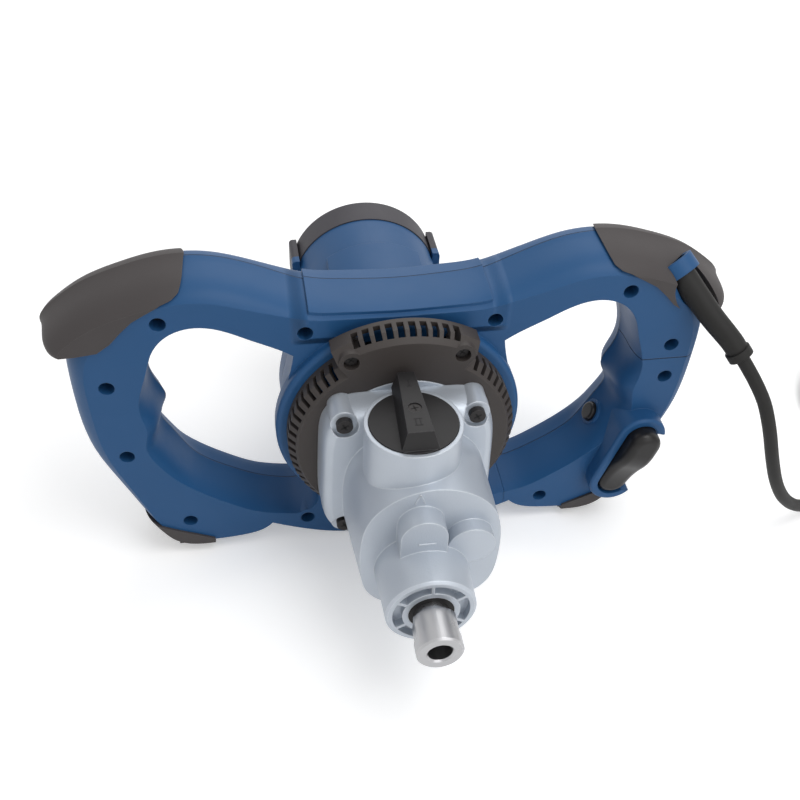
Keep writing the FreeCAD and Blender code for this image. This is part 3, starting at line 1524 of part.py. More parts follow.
knob = Part.makeLoft([knob_wire(knob_base_grow, dial_level), knob_wire(0, dial_top_z)], True, True)
dial = post(dial_radius, dial_low_z, dial_level, dial_at).multiFuse(
    [
        knob,
        post(dial_stem_radius, dial_stem_end, dial_low_z, dial_at),
        post(dial_pin_radius, dial_pin_end, dial_stem_end, (dial_x, sleeve_middle_y)),
    ]
)
screw_seat_z = dial_top_z - dial_screw_sink
screw_end_z = screw_seat_z - dial_screw_length
dial = dial.cut(post(dial_screw_radius + press_gap, screw_seat_z, dial_top_z + overrun, dial_at))
dial = dial.cut(post(dial_screw_shank + press_gap, screw_end_z, screw_seat_z, dial_at))
save("selector_dial", dial)
save(
    "dial_screw",
    post(dial_screw_radius, screw_seat_z, dial_top_z - mark_depth, dial_at).fuse(
        post(dial_screw_shank, screw_end_z, screw_seat_z, dial_at)
    ),
)
clip_top_z = dial_floor_low_z - running_gap
save(
    "dial_clip",
    post(dial_clip_radius, clip_top_z - dial_clip_height, clip_top_z, dial_at).cut(
        post(dial_stem_radius + press_gap, clip_top_z - dial_clip_height, clip_top_z, dial_at)
    ),
)

# Interference capacitor beside the switch
capacitor_z = floor_z + 3 * frame_wall
save(
    "capacitor",
    block(
        capacitor_x,
        capacitor_x + capacitor_length,
        capacitor_y - capacitor_depth / 2,
        capacitor_y + capacitor_depth / 2,
        capacitor_z,
        capacitor_z + capacitor_width,
    ),
)


# Cord: straight runs joined by tangent arcs
def arc_through(start, tangent, end):
    chord = end - start
    along = chord.normalize()
    length = (end - start).Length
    across_part = tangent - along * tangent.dot(along)
    if across_part.Length < straight_tolerance:
        return Part.LineSegment(start, end)
    half_turn = math.acos(max(-1, min(1, tangent.dot(along))))
    middle = (start + end) * 0.5 + across_part.normalize() * (length / 2 * math.tan(half_turn / 2))
    return Part.Arc(start, middle, end)


def route_edges(points):
    edges = []
    radii = []
    last = points[0]
    for before, here, after in zip(points, points[1:], points[2:]):
        coming = (here - before).normalize()
        going = (after - here).normalize()
        reach = bend_share * min((here - before).Length, (after - here).Length)
        half_turn = coming.getAngle(going) / 2
        radii.append(reach / math.tan(half_turn))
        start = here - coming * reach
        end = here + going * reach
        edges.append(Part.LineSegment(last, start))
        edges.append(arc_through(start, coming, end))
        last = end
    edges.append(Part.LineSegment(last, points[-1]))
    return edges, radii


def tube_along(curves, radius, start, tangent):
    wire = Part.Wire([c.toShape() for c in curves])
    ring_edge = Part.makeCircle(radius, start, tangent)
    shell = Part.BRepOffsetAPI.MakePipeShell(wire)
    shell.add(Part.Wire([ring_edge]))
    shell.build()
    shell.makeSolid()
    return Part.Solid(shell.shape()), wire


# Strain relief sleeve, tapering from the gland to its end collar
sleeve_start = gland_at - gland_dir * (gland_sink / 2)
sleeve_curves, sleeve_radii = route_edges([sleeve_start] + sleeve_route)
sleeve_edges = [c.toShape() for c in sleeve_curves]
sleeve_total = sum(e.Length for e in sleeve_edges)
sleeve_straight = gland_sink / 2 + gland_length


def sleeve_station(distance):
    left = distance
    for edge in sleeve_edges:
        if left <= edge.Length or edge is sleeve_edges[-1]:
            place = edge.getParameterByLength(min(left, edge.Length))
            return edge.valueAt(place), edge.tangentAt(place)
        left -= edge.Length


def sleeve_circle(distance, radius):
    place, tangent = sleeve_station(distance)
    return Part.Wire([Part.makeCircle(radius, place, tangent)])


sleeve_stations = [(place, sleeve_radius) for place in (0, sleeve_straight / 2, sleeve_straight)]
sleeve_collar_start = sleeve_total - sleeve_collar_length
for i in range(1, sleeve_taper_steps + 1):
    share = i / sleeve_taper_steps
    place = sleeve_straight + (sleeve_collar_start - sleeve_straight) * share
    sleeve_stations.append((place, sleeve_radius + (sleeve_end_radius - sleeve_radius) * share))
cord_sleeve = lofted([sleeve_circle(place, radius) for place, radius in sleeve_stations])
collar_at, collar_dir = sleeve_station(sleeve_collar_start)
sleeve_collar = Part.makeCylinder(sleeve_collar_radius, sleeve_collar_length, collar_at, collar_dir)
cord_sleeve = cord_sleeve.fuse(sleeve_collar)
save("cord_sleeve", cord_sleeve, on_cord=True)

run_start_dir = (cord_route[1] - cord_route[0]).normalize()
run_curves, run_radii = route_edges(cord_route)
cord_run, run_wire = tube_along(run_curves, cord_radius, cord_route[0], run_start_dir)
print("cord bend radii", [round(r, 1) for r in run_radii], "sleeve", [round(r, 1) for r in sleeve_radii])
print("run length", round(run_wire.Length, 1), "volume", round(cord_run.Volume, 1))
print("section times length", round(math.pi * cord_radius ** 2 * run_wire.Length, 1))
save("cord_run", cord_run, on_cord=True)

# Coil: half turns that spiral in, climb, and spiral out again
coil_start = cord_route[-1]
coil_centre = coil_start + V(coil_radius, 0, 0)
reaches = [coil_radius - coil_step * i for i in range(coil_half_turns + 1)]
reaches.append(coil_inner_radius)
reaches += reaches[coil_half_turns - 1::-1]
coil_places = []
for i, reach in enumerate(reaches):
    side = -1 if i % 2 == 0 else 1
    level = coil_rise if i > coil_half_turns else 0
    coil_places.append(coil_centre + V(side * reach, 0, level))
coil_curves = []
for i, (start, end) in enumerate(zip(coil_places, coil_places[1:])):
    heading = V(0, 1, 0) if i % 2 == 0 else V(0, -1, 0)
    half_span = (end - start).Length / 2
    joint = (start + end) * 0.5 + heading * half_span
    coil_curves.append(arc_through(start, heading, joint))
    coil_curves.append(arc_through(joint, (end - start).normalize(), end))
tail_dir = V(0, -1, 0)
coil_end = coil_places[-1] + tail_dir * coil_tail
coil_curves.append(Part.LineSegment(coil_places[-1], coil_end))
cord_coil, coil_wire = tube_along(coil_curves, cord_radius, coil_start, V(0, 1, 0))
print("coil length", round(coil_wire.Length, 1), "volume", round(cord_coil.Volume, 1))
print("section times length", round(math.pi * cord_radius ** 2 * coil_wire.Length, 1))
save("cord_coil", cord_coil, on_cord=True)


def least_self_gap(wire):
    # Compares points along the coil that lie more than half a turn of the smallest loop apart
    count = int(wire.Length / coil_sample_step)
    points = wire.discretize(count)
    skip = int(math.pi * coil_inner_radius / coil_sample_step)
    least = min(
        (points[i] - other).Length for i in range(count) for other in points[i + skip:]
    )
    return least - 2 * cord_radius


print("coil's least gap to itself", round(least_self_gap(coil_wire), 2))

# Tie round the coil, on its far side
tie_in = coil_inner_radius - cord_radius - tie_gap
tie_out = coil_radius + cord_radius + tie_gap
tie_low = coil_start.z - cord_radius - tie_gap
tie_high = coil_start.z + coil_rise + cord_radius + tie_gap
tie_outer = block(
    coil_centre.x - tie_width / 2,
    coil_centre.x + tie_width / 2,
    coil_centre.y + tie_in - tie_wall,
    coil_centre.y + tie_out + tie_wall,
    tie_low - tie_wall,
    tie_high + tie_wall,
)
tie_inner = block(
    coil_centre.x - tie_width,
    coil_centre.x + tie_width,
    coil_centre.y + tie_in,
    coil_centre.y + tie_out,
    tie_low,
    tie_high,
)
save("coil_tie", tie_outer.cut(tie_inner), on_cord=True)


# Plug with two round pins
def plug_wire(half_width, half_height, distance):
    place = coil_end + tail_dir * distance
    curve = Part.Ellipse(place, half_width, half_height)
    curve.Axis = tail_dir
    curve.XAxis = V(1, 0, 0)
    return Part.Wire([curve.toShape()])


plug_neck = Part.makeCone(plug_neck_radius, plug_neck_end_radius, plug_neck_length, coil_end, tail_dir)
plug_body = lofted(
    [
        plug_wire(plug_half_width * size, plug_half_height * size, plug_neck_length + plug_length * share)
        for size, share in plug_body_shares
    ]
)
plug_end = coil_end + tail_dir * (plug_neck_length + plug_length)
pins = []
pin_holes = []
for side in (-1, 1):
    root = plug_end + V(side * plug_pin_half_spacing, 0, 0) - tail_dir * plug_pin_sink
    pins.append(Part.makeCylinder(plug_pin_radius, plug_pin_sink + plug_pin_length, root, tail_dir))
    hole = Part.makeCylinder(plug_pin_radius + press_gap, plug_pin_sink + overrun, root, tail_dir)
    pin_holes.append(hole)
save("cord_plug", plug_neck.fuse(plug_body).cut(Part.makeCompound(pin_holes)), on_cord=True)
save("plug_pins", Part.makeCompound(pins), on_cord=True)

# All pieces move to the part's frame: the floor under the middle of the tool, cord left out
tool_box = Part.makeCompound([s for n, s in nodes.items() if n not in cord_nodes]).BoundBox
to_frame = V(-tool_box.Center.x, -tool_box.Center.y, -tool_box.ZMin)
for name, shape in nodes.items():
    placed = shape.copy()
    placed.translate(to_frame)
    placed.exportStep("parts/" + name + ".step")
    print(name, len(placed.Solids), round(placed.Volume), placed.isValid())
print("moved by", to_frame)
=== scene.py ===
"""Looks of a two-handled mixing drill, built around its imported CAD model."""

import math

import bmesh
import bpy
from mathutils import Matrix, Vector


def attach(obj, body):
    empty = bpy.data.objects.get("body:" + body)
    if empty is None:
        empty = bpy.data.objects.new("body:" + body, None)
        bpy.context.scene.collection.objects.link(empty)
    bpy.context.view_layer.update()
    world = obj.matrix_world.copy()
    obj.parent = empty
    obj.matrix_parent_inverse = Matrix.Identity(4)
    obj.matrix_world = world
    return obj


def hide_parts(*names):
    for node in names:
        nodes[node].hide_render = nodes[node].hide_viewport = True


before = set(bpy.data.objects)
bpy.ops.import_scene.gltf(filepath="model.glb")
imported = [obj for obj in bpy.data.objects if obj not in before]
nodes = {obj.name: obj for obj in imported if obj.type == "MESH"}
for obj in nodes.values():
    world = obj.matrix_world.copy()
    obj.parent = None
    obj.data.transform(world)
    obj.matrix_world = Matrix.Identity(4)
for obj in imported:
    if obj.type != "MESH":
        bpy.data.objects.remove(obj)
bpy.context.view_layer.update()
scene = bpy.context.scene
scene.view_settings.view_transform = "Standard"

MM = 0.001

# The CAD frame's origin lies this far from the motor axis and the parting plane, in millimetres
AXIS_Y = 24.5
AXIS_Z = 100.4


def at(x, y, z):
    """A point given from the motor axis and the parting plane, in millimetres, in the row frame."""
    return Vector((x * MM, (y + AXIS_Y) * MM, (z + AXIS_Z) * MM))


# Camera, as fitted to the photograph
CAMERA_AZIMUTH = math.radians(-10.96)
CAMERA_ELEVATION = math.radians(43.40)
CAMERA_ROLL = math.radians(2.71)
CAMERA_DISTANCE = 632.1 * MM
CAMERA_AIM = at(0, -27.5, -17)
SENSOR_WIDTH = 36
IMAGE_SIZE = 800
FOCAL_PIXELS = 1060.5
PRINCIPAL_X = 395.5
PRINCIPAL_Y = 433.8


def make_camera():
    data = bpy.data.cameras.new("camera")
    camera = bpy.data.objects.new("camera", data)
    scene.collection.objects.link(camera)
    data.sensor_width = SENSOR_WIDTH
    data.lens = FOCAL_PIXELS / IMAGE_SIZE * data.sensor_width
    data.shift_x = (IMAGE_SIZE / 2 - PRINCIPAL_X) / IMAGE_SIZE
    data.shift_y = (PRINCIPAL_Y - IMAGE_SIZE / 2) / IMAGE_SIZE
    back = Vector(
        (
            math.sin(CAMERA_AZIMUTH) * math.cos(CAMERA_ELEVATION),
            -math.cos(CAMERA_AZIMUTH) * math.cos(CAMERA_ELEVATION),
            math.sin(CAMERA_ELEVATION),
        )
    )
    right = Vector((math.cos(CAMERA_AZIMUTH), math.sin(CAMERA_AZIMUTH), 0))
    up = back.cross(right)
    right, up = (
        right * math.cos(CAMERA_ROLL) + up * math.sin(CAMERA_ROLL),
        up * math.cos(CAMERA_ROLL) - right * math.sin(CAMERA_ROLL),
    )
    turn = Matrix((right, up, back)).transposed().to_4x4()
    camera.matrix_world = Matrix.Translation(CAMERA_AIM + back * CAMERA_DISTANCE) @ turn
    scene.camera = camera


make_camera()

# Values that all surfaces share: noise scales are per metre, and the worn share is read from how far the
# rounded normal leans from the flat one
SPECULAR_LEVEL = 0.3
COAT_ROUGHNESS = 0.15
DRIFT_SCALE = 22
DRIFT_DETAIL = 4
SMEAR_SCALE = 60
SMEAR_DETAIL = 6
GRAIN_DETAIL = 3
GRAIN_STRENGTH = 0.6
BEVEL_SAMPLES = 4
WORN_START = 0.98
WORN_END = 0.8
WORN_MOST = 0.55


def linear(red, green, blue):
    """An 8-bit sRGB colour as linear values with full alpha."""
    values = []
    for level in (red, green, blue):
        share = level / 255
        values.append(share / 12.92 if share <= 0.04045 else ((share + 0.055) / 1.055) ** 2.4)
    return (*values, 1)


def shaded(color, factor):
    return (*(min(channel * factor, 1) for channel in color[:3]), 1)


def surface(
    name,
    color,
    rough=(0.4, 0.5),
    metallic=0.0,
    grain=(1800, 0.05),
    tint=0.08,
    edge=None,
    bevel=0.6,
    coat=0.0,
):
    """A moulded or cast surface: soft colour drift, a fine grain, uneven gloss and rounded, worn edges.
    rough is its least and most roughness, grain its scale per metre and its depth in millimetres, tint
    how far its colour drifts, edge the colour of worn edges and bevel their radius in millimetres."""
    material = bpy.data.materials.new(name)
    material.use_nodes = True
    tree = material.node_tree
    make, link = tree.nodes.new, tree.links.new
    shader = tree.nodes["Principled BSDF"]
    shader.inputs["Metallic"].default_value = metallic
    shader.inputs["Specular IOR Level"].default_value = SPECULAR_LEVEL
    shader.inputs["Coat Weight"].default_value = coat
    shader.inputs["Coat Roughness"].default_value = COAT_ROUGHNESS
    place = make("ShaderNodeTexCoord")

    drift = make("ShaderNodeTexNoise")
    drift.inputs["Scale"].default_value = DRIFT_SCALE
    drift.inputs["Detail"].default_value = DRIFT_DETAIL
    link(place.outputs["Object"], drift.inputs["Vector"])
    tones = make("ShaderNodeMix")
    tones.data_type = "RGBA"
    tones.inputs["A"].default_value = shaded(color, 1 - tint)
    tones.inputs["B"].default_value = shaded(color, 1 + tint)
    link(drift.outputs["Fac"], tones.inputs["Factor"])
    finish_color = tones.outputs["Result"]

    round_edge = make("ShaderNodeBevel")
    round_edge.samples = BEVEL_SAMPLES
    round_edge.inputs["Radius"].default_value = bevel * MM
    if edge is not None:
        flat = make("ShaderNodeNewGeometry")
        compare = make("ShaderNodeVectorMath")
        compare.operation = "DOT_PRODUCT"
        link(round_edge.outputs["Normal"], compare.inputs[0])
        link(flat.outputs["Normal"], compare.inputs[1])
        worn = make("ShaderNodeMapRange")
        worn.inputs["From Min"].default_value = WORN_START
        worn.inputs["From Max"].default_value = WORN_END
        worn.inputs["To Max"].default_value = WORN_MOST
        link(compare.outputs["Value"], worn.inputs["Value"])
        wear = make("ShaderNodeMix")
        wear.data_type = "RGBA"
        wear.inputs["B"].default_value = edge
        link(worn.outputs["Result"], wear.inputs["Factor"])
        link(finish_color, wear.inputs["A"])
        finish_color = wear.outputs["Result"]
    link(finish_color, shader.inputs["Base Color"])

    fine = make("ShaderNodeTexNoise")
    fine.inputs["Scale"].default_value = grain[0]
    fine.inputs["Detail"].default_value = GRAIN_DETAIL
    link(place.outputs["Object"], fine.inputs["Vector"])
    bump = make("ShaderNodeBump")
    bump.inputs["Strength"].default_value = GRAIN_STRENGTH
    bump.inputs["Distance"].default_value = grain[1] * MM
    link(fine.outputs["Fac"], bump.inputs["Height"])
    link(round_edge.outputs["Normal"], bump.inputs["Normal"])
    link(bump.outputs["Normal"], shader.inputs["Normal"])

    smears = make("ShaderNodeTexNoise")
    smears.inputs["Scale"].default_value = SMEAR_SCALE
    smears.inputs["Detail"].default_value = SMEAR_DETAIL
    link(place.outputs["Object"], smears.inputs["Vector"])
    gloss = make("ShaderNodeMapRange")
    gloss.inputs["To Min"].default_value = rough[0]
    gloss.inputs["To Max"].default_value = rough[1]
    link(smears.outputs["Fac"], gloss.inputs["Value"])
    link(gloss.outputs["Result"], shader.inputs["Roughness"])
    return material


# The shells' lines, in millimetres from the motor axis and the parting plane
LINE_WIDTH = 0.45
LINE_CORE_SHARE = 0.3
LINE_TINT_SHARE = 0.75
LINE_DEPTH = 0.2
COVER_SEAM_X = 72
COVER_SEAM_Z = 28.5
PANEL_END_X = 50
PANEL_SLOPE = 11
PANEL_RELIEF = 7
BAR_LOW_Z = 58
BAR_FADE = 4


def add_shell_lines(material, color):
    """Dark grooves for the parting line and the switch cover's seam, and sloped ends on the bar's panel."""
    tree = material.node_tree
    make, link = tree.nodes.new, tree.links.new
    shader = tree.nodes["Principled BSDF"]
    place = make("ShaderNodeTexCoord")
    parts = make("ShaderNodeSeparateXYZ")
    link(place.outputs["Object"], parts.inputs["Vector"])

    def calculate(operation, first, second=0.0):
        node = make("ShaderNodeMath")
        node.operation = operation
        for socket, value in zip(node.inputs, (first, second)):
            if isinstance(value, bpy.types.NodeSocket):
                link(value, socket)
            else:
                socket.default_value = value
        return node.outputs["Value"]

    def ramp(value, start, end):
        node = make("ShaderNodeMapRange")
        node.interpolation_type = "SMOOTHSTEP"
        link(value, node.inputs["Value"])
        node.inputs["From Min"].default_value = start
        node.inputs["From Max"].default_value = end
        return node.outputs["Result"]

    def groove(value, middle):
        away = calculate("ABSOLUTE", calculate("SUBTRACT", value, middle))
        return ramp(away, LINE_WIDTH * MM, LINE_CORE_SHARE * LINE_WIDTH * MM)

    x, y, z = parts.outputs["X"], parts.outputs["Y"], parts.outputs["Z"]
    on_grip = calculate("GREATER_THAN", x, COVER_SEAM_X * MM)
    in_front = calculate("LESS_THAN", y, AXIS_Y * MM)
    on_cover = calculate("MULTIPLY", on_grip, in_front)
    cover_seam = calculate("MULTIPLY", groove(z, (COVER_SEAM_Z + AXIS_Z) * MM), on_cover)
    lines = calculate("MAXIMUM", groove(y, AXIS_Y * MM), cover_seam)

    old_color = shader.inputs["Base Color"].links[0].from_socket
    mixed = make("ShaderNodeMix")
    mixed.data_type = "RGBA"
    mixed.inputs["B"].default_value = color
    link(calculate("MULTIPLY", lines, LINE_TINT_SHARE), mixed.inputs["Factor"])
    link(old_color, mixed.inputs["A"])
    link(mixed.outputs["Result"], shader.inputs["Base Color"])

    slope = ramp(calculate("ABSOLUTE", x), (PANEL_END_X + PANEL_SLOPE) * MM, PANEL_END_X * MM)
    on_bar = ramp(z, (BAR_LOW_Z + AXIS_Z) * MM, (BAR_LOW_Z + AXIS_Z + BAR_FADE) * MM)
    relief = make("ShaderNodeBump")
    relief.inputs["Strength"].default_value = 1
    relief.inputs["Distance"].default_value = PANEL_RELIEF * MM
    link(calculate("MULTIPLY", slope, on_bar), relief.inputs["Height"])
    link(shader.inputs["Normal"].links[0].from_socket, relief.inputs["Normal"])
    sunk = make("ShaderNodeBump")
    sunk.invert = True
    sunk.inputs["Strength"].default_value = 1
    sunk.inputs["Distance"].default_value = LINE_DEPTH * MM
    link(lines, sunk.inputs["Height"])
    link(relief.outputs["Normal"], sunk.inputs["Normal"])
    link(sunk.outputs["Normal"], shader.inputs["Normal"])


# Materials
blue = surface(
    "blue_plastic",
    linear(33, 80, 126),
    (0.42, 0.54),
    grain=(2600, 0.04),
    tint=0.05,
    edge=linear(62, 102, 148),
    bevel=0.8,
)
add_shell_lines(blue, linear(18, 34, 56))
rubber = surface(
    "corner_rubber", linear(70, 66, 66), (0.52, 0.66), grain=(2200, 0.08), edge=linear(112, 106, 106)
)
grey = surface(
    "grey_plastic", linear(66, 64, 69), (0.5, 0.62), grain=(2400, 0.06), edge=linear(104, 102, 106)
)
black = surface(
    "black_plastic", linear(62, 57, 55), (0.45, 0.58), grain=(2400, 0.05), edge=linear(84, 79, 77)
)
knob_grey = surface(
    "dial_plastic", linear(33, 32, 33), (0.4, 0.52), grain=(2400, 0.05), edge=linear(96, 95, 98)
)
glossy = surface(
    "trigger_plastic", linear(22, 20, 20), (0.3, 0.42), grain=(1500, 0.01), coat=0.1, bevel=1.0
)
cord_rubber = surface("cord_rubber", linear(27, 26, 25), (0.5, 0.64), grain=(2000, 0.05))
seal_rubber = surface("seal_rubber", linear(26, 25, 25), (0.5, 0.6))
cast = surface(
    "cast_aluminium",
    linear(186, 193, 202),
    (0.36, 0.5),
    metallic=0.5,
    grain=(1200, 0.2),
    tint=0.06,
    edge=linear(240, 243, 247),
    bevel=1.0,
)
black_steel = surface(
    "black_steel", linear(52, 50, 50), (0.35, 0.5), metallic=0.6, edge=linear(96, 95, 95), bevel=0.3
)
steel = surface(
    "ground_steel",
    linear(176, 176, 178),
    (0.22, 0.36),
    metallic=1.0,
    grain=(3000, 0.02),
    edge=linear(220, 220, 222),
    bevel=0.3,
)
iron = surface("laminated_iron", linear(92, 92, 94), (0.4, 0.55), metallic=0.8)
copper = surface("copper_wire", linear(176, 98, 58), (0.3, 0.45), metallic=0.9, grain=(1200, 0.25))
carbon = surface("carbon", linear(30, 30, 31), (0.5, 0.7))
brass = surface("plated_pins", linear(206, 196, 168), (0.2, 0.3), metallic=1.0)
# Painted shade: near-black for the flat crosses on the screw heads, in place of the shadows inside their
# recesses
painted_recess_shade = surface("painted_recess_shade", linear(9, 9, 9), (0.6, 0.7), bevel=0.1)
numeral_grey = surface("numeral_grey", linear(28, 27, 28), (0.5, 0.6), bevel=0.1)

# All other nodes are ground steel
NODE_MATERIALS = {
    blue: ["gear_side_shell", "motor_side_shell", "switch_cover", "motor_housing"],
    rubber: ["left_corner_bumper", "right_corner_bumper", "left_foot_pad", "right_foot_pad"],
    cord_rubber: ["cord_sleeve", "cord_plug"],
    seal_rubber: ["spindle_seal"],
    grey: ["motor_end_cap"],
    black: [
        "vent_ring", "switch_module", "switch_plunger", "capacitor",
        "brush_holders", "cooling_fan", "coil_tie",
    ],
    knob_grey: ["selector_dial"],
    glossy: ["trigger", "lock_button"],
    cast: ["gearbox_housing", "gearbox_plate", "inner_bearing_plate"],
    black_steel: ["shell_screws", "ring_screws", "end_cap_screws", "gearbox_screws", "dial_screw"],
    iron: ["stator_core", "armature_core"],
    copper: ["stator_windings", "armature_windings", "commutator"],
    carbon: ["carbon_brushes"],
    brass: ["plug_pins"],
}
dressed = {name: material for material, names in NODE_MATERIALS.items() for name in names}
for name, node in nodes.items():
    node.data.materials.clear()
    node.data.materials.append(dressed.get(name, steel))


# Cord: the CAD route's points, then the put-away coil and its straight tail
CORD_ROUTE = [
    (190.6, -54.1, 45.6), (203.9, -64.2, 27.6), (213, -70, 4), (221, -72, -21), (231, -71, -45),
    (245, -67, -66.5), (264, -60, -83), (286, -48, -91.5), (305, -30, -94), (318, -8, -94.3),
    (324, 16, -94.3), (324, 40, -94.3),
]
CORD_RADIUS = 4.0
CORD_BEVEL_STEPS = 5
CORD_STEPS_PER_POINT = 6
COIL_RADIUS = 64.2
COIL_STEP = 4.45
COIL_HALF_TURNS = 7
COIL_INNER_RADIUS = 30.5
COIL_RISE = 8.9
COIL_TAIL = 52.0
COIL_POINTS = 9


def coil_points():
    """Control points of the half turns in, the climb, the half turns out and the tail. The swell makes up
    for about half of what the spline cuts off inside its control points."""
    start = CORD_ROUTE[-1]
    middle = (start[0] + COIL_RADIUS, start[1])
    reaches = [COIL_RADIUS - COIL_STEP * i for i in range(COIL_HALF_TURNS + 1)]
    reaches += [COIL_INNER_RADIUS] + reaches[COIL_HALF_TURNS - 1 :: -1]
    swell = 2 / (1 + math.cos(math.pi / COIL_POINTS / 2))
    points = []
    for half, (first, second) in enumerate(zip(reaches, reaches[1:])):
        for i in range(COIL_POINTS):
            share = (i + 0.5) / COIL_POINTS
            angle = math.pi - math.pi * (half + share)
            reach = (first + (second - first) * share) * swell
            climb = min(max(half + share - COIL_HALF_TURNS, 0), 1)
            x = middle[0] + reach * math.cos(angle)
            y = middle[1] + reach * math.sin(angle)
            points.append((x, y, start[2] + COIL_RISE * climb))
    end = (middle[0] + COIL_RADIUS, middle[1], start[2] + COIL_RISE)
    return points + [end, (end[0], end[1] - COIL_TAIL, end[2])]


def make_cord():
    data = bpy.data.curves.new("mains_cord", "CURVE")
    data.dimensions = "3D"
    data.bevel_depth = CORD_RADIUS * MM
    data.bevel_resolution = CORD_BEVEL_STEPS
    data.use_fill_caps = True
    data.resolution_u = CORD_STEPS_PER_POINT
    line = data.splines.new("NURBS")
    places = CORD_ROUTE + coil_points()
    line.points.add(len(places) - 1)
    for point, place in zip(line.points, places):
        point.co = (*at(*place), 1)
    line.order_u = 3
    line.use_endpoint_u = True
    cord = bpy.data.objects.new("mains_cord", data)
    scene.collection.objects.link(cord)
    data.materials.append(cord_rubber)
    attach(cord, "frame")
    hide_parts("cord_run", "cord_coil")


make_cord()

# Small marks: painted shade for the screw recesses, the dial's numerals and the marks cast on the gearbox
TOP_INSET_SHARE = 0.15


def add_bars(name, material, body, plane, level, depth, bars):
    """One mesh of flat bars. Each bar has a middle, a length, a width and a turn in degrees, in the plane
    "xz", seen from the front, or "xy", seen from above. Their backs and fronts lie depth to each side
    of level."""
    mesh = bmesh.new()
    for (across, up), length, width, turn in bars:
        lean = math.radians(turn)
        along = (math.cos(lean), math.sin(lean))
        rows = []
        for rise, inset in ((-depth, 0), (depth, TOP_INSET_SHARE * width)):
            row = []
            for end, side in ((-1, -1), (1, -1), (1, 1), (-1, 1)):
                reach, half = end * (length / 2 - inset), side * (width / 2 - inset)
                u = across + along[0] * reach - along[1] * half
                v = up + along[1] * reach + along[0] * half
                spot = at(u, level - rise, v) if plane == "xz" else at(u, v, level + rise)
                row.append(mesh.verts.new(spot))
            rows.append(row)
        low, high = rows
        mesh.faces.new(high)
        mesh.faces.new(low[::-1])
        for i in range(4):
            mesh.faces.new((low[i], low[(i + 1) % 4], high[(i + 1) % 4], high[i]))
    bmesh.ops.recalc_face_normals(mesh, faces=mesh.faces)
    data = bpy.data.meshes.new(name)
    mesh.to_mesh(data)
    mesh.free()
    data.materials.append(material)
    piece = bpy.data.objects.new(name, data)
    scene.collection.objects.link(piece)
    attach(piece, body)


def crosses(places, length, width, turn):
    return [(place, length, width, turn + quarter) for place in places for quarter in (0, 90)]


# Screws: their places, the levels of their heads, and each painted-shade cross's length, width and turn in
# degrees
HALF_WIDTH = 192
HALF_HEIGHT = 100
SHELL_SCREW_SHARES = [
    (0.272, 0.655), (0.663, 0.785), (0.83, 0.385), (-0.272, 0.655), (-0.668, 0.78), (-0.833, 0.375),
    (0.836, 0.145), (-0.813, -0.145), (-0.656, -0.73), (-0.281, -0.80), (0.281, -0.80), (0.5, -0.80),
]
SHELL_SCREWS = [(x * HALF_WIDTH, z * HALF_HEIGHT) for x, z in SHELL_SCREW_SHARES]
RING_SCREWS = [(-30, 60.5), (30, 60.5)]
EAR_SCREWS = [(-36, 33.5), (36, 33.5), (-36, -43.5), (36, -43.5)]
DIAL_X = -2
DIAL_Y = -86.1
SHELL_SCREW_LEVEL = -21.5
RING_SCREW_LEVEL = -49.5
EAR_SCREW_LEVEL = -72.1
DIAL_SCREW_LEVEL = 56.4
SHELL_CROSS = (4, 0.9, 20)
RING_CROSS = (4, 0.9, 55)
EAR_CROSS = (5, 1.3, 30)
DIAL_CROSS = (4.4, 1, 12)
RECESS_DEPTH = 0.05
# Flat near-black crosses laid on the screw heads: painted shade where the recesses would be shadowed
PAINTED_RECESS_SHADES = [
    ("shell_screw_recess_shade", "frame", "xz", SHELL_SCREW_LEVEL, crosses(SHELL_SCREWS, *SHELL_CROSS)),
    ("ring_screw_recess_shade", "frame", "xz", RING_SCREW_LEVEL, crosses(RING_SCREWS, *RING_CROSS)),
    ("ear_screw_recess_shade", "frame", "xz", EAR_SCREW_LEVEL, crosses(EAR_SCREWS, *EAR_CROSS)),
    ("dial_screw_recess_shade", "selector", "xy", DIAL_SCREW_LEVEL, crosses([(DIAL_X, DIAL_Y)], *DIAL_CROSS)),
]
for name, body, plane, level, bars in PAINTED_RECESS_SHADES:
    add_bars(name, painted_recess_shade, body, plane, level, RECESS_DEPTH, bars)

# Numerals I and II on the knob: strokes, and a serif at both ends of each numeral
KNOB_LEVEL = 57
NUMERAL_DEPTH = 0.12
FIRST_Y = -67
FIRST_HEIGHT = 5
FIRST_SERIF = 2.6
SECOND_Y = -97
SECOND_HEIGHT = 4.8
SECOND_SERIF = 4.6
SECOND_SPACING = 2.4
STROKE_WIDTH = 0.9
SERIF_WIDTH = 0.7
BOTH_ENDS = (-0.5, 0.5)
numerals = [((DIAL_X, FIRST_Y), FIRST_HEIGHT, STROKE_WIDTH, 90)]
for end in BOTH_ENDS:
    stroke_x = DIAL_X + end * SECOND_SPACING
    numerals.append(((DIAL_X, FIRST_Y + end * FIRST_HEIGHT), FIRST_SERIF, SERIF_WIDTH, 0))
    numerals.append(((stroke_x, SECOND_Y), SECOND_HEIGHT, STROKE_WIDTH, 90))
    numerals.append(((DIAL_X, SECOND_Y + end * SECOND_HEIGHT), SECOND_SERIF, SERIF_WIDTH, 0))
add_bars(
    "dial_numerals", numeral_grey, "selector", "xy", KNOB_LEVEL, NUMERAL_DEPTH, numerals
)

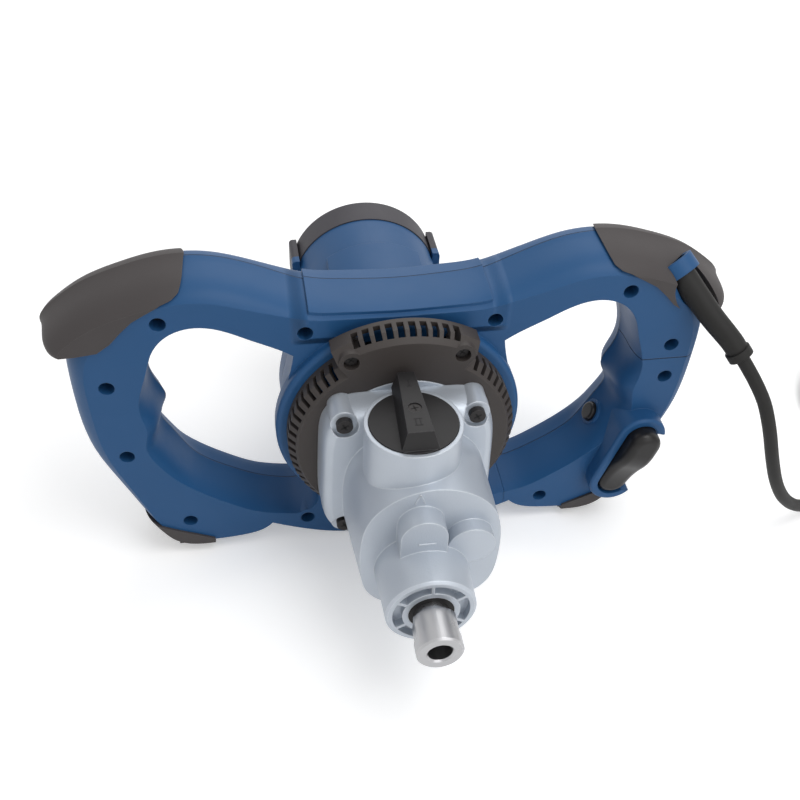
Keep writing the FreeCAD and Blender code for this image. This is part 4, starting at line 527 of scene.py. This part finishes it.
# Marks cast on the gearbox: an arrowhead on its shoulder and a dash on the boss
SHOULDER_LEVEL = -116.5
ARROW_X = -2.55
ARROW_Z = 20.8
ARROW_REACH = 1.28
ARROW_LENGTH = 7.5
ARROW_WIDTH = 1.1
ARROW_LEAN = 20
ARROW_DEPTH = 0.5
BOSS_LEVEL = -128.5
DASH_Z = -0.7
DASH_LENGTH = 9.5
DASH_WIDTH = 1.2
DASH_DEPTH = 0.4
arrow = [
    ((ARROW_X + side * ARROW_REACH, ARROW_Z), ARROW_LENGTH, ARROW_WIDTH, 90 + side * ARROW_LEAN)
    for side in (-1, 1)
]
dash = [((0, DASH_Z), DASH_LENGTH, DASH_WIDTH, 0)]
add_bars("shoulder_arrow", cast, "frame", "xz", SHOULDER_LEVEL, ARROW_DEPTH, arrow)
add_bars("boss_dash", cast, "frame", "xz", BOSS_LEVEL, DASH_DEPTH, dash)


# Floor, world and lamps. The floor and the world are lifted towards white for the camera, and the floor
# keeps the object's shadow.
FLOOR_SIZE = 12
FLOOR_COLOR = (0.92, 0.92, 0.92, 1)
FLOOR_ROUGHNESS = 0.9
FLOOR_SPECULAR = 0.1
FLOOR_GLOW = 0.32
WORLD_LIGHT = 0.53
WHITE = (1, 1, 1, 1)
LAMP_AIM = (0, 0, 0.1)


def lift_for_camera(tree, socket, lit, seen):
    """Gives a strength the value lit for the light on the object, and seen where the camera, a reflection
    or a view through glass meets it."""
    make, link = tree.nodes.new, tree.links.new
    rays = make("ShaderNodeLightPath")
    share = rays.outputs["Is Camera Ray"]
    for kind in ("Is Glossy Ray", "Is Transmission Ray"):
        either = make("ShaderNodeMath")
        either.operation = "MAXIMUM"
        link(share, either.inputs[0])
        link(rays.outputs[kind], either.inputs[1])
        share = either.outputs["Value"]
    level = make("ShaderNodeMapRange")
    level.inputs["To Min"].default_value = lit
    level.inputs["To Max"].default_value = seen
    link(share, level.inputs["Value"])
    link(level.outputs["Result"], socket)


def make_stage():
    bpy.ops.mesh.primitive_plane_add(size=FLOOR_SIZE)
    floor = bpy.context.object
    floor.name = "floor"
    material = bpy.data.materials.new("pale_floor")
    material.use_nodes = True
    shader = material.node_tree.nodes["Principled BSDF"]
    shader.inputs["Base Color"].default_value = FLOOR_COLOR
    shader.inputs["Roughness"].default_value = FLOOR_ROUGHNESS
    shader.inputs["Specular IOR Level"].default_value = FLOOR_SPECULAR
    shader.inputs["Emission Color"].default_value = WHITE
    lift_for_camera(material.node_tree, shader.inputs["Emission Strength"], lit=0, seen=FLOOR_GLOW)
    floor.data.materials.append(material)
    world = bpy.data.worlds.new("studio")
    scene.world = world
    world.use_nodes = True
    background = world.node_tree.nodes["Background"]
    background.inputs["Color"].default_value = WHITE
    lift_for_camera(world.node_tree, background.inputs["Strength"], lit=WORLD_LIGHT, seen=1)


def area_light(name, place, size, power):
    """A round lamp that faces the object: its place and size are in metres, its power in watts."""
    data = bpy.data.lights.new(name, "AREA")
    data.shape = "DISK"
    data.size = size
    data.energy = power
    lamp = bpy.data.objects.new(name, data)
    scene.collection.objects.link(lamp)
    lamp.location = place
    lamp.rotation_mode = "QUATERNION"
    lamp.rotation_quaternion = (Vector(LAMP_AIM) - Vector(place)).to_track_quat("-Z", "Y")


make_stage()
area_light("key", place=(0.5, -0.4, 1.5), size=1.0, power=8.5)
area_light("front", place=(0.6, -1.3, 0.8), size=1.2, power=4)
area_light("back", place=(0.35, 1.2, 1.1), size=1.2, power=5)
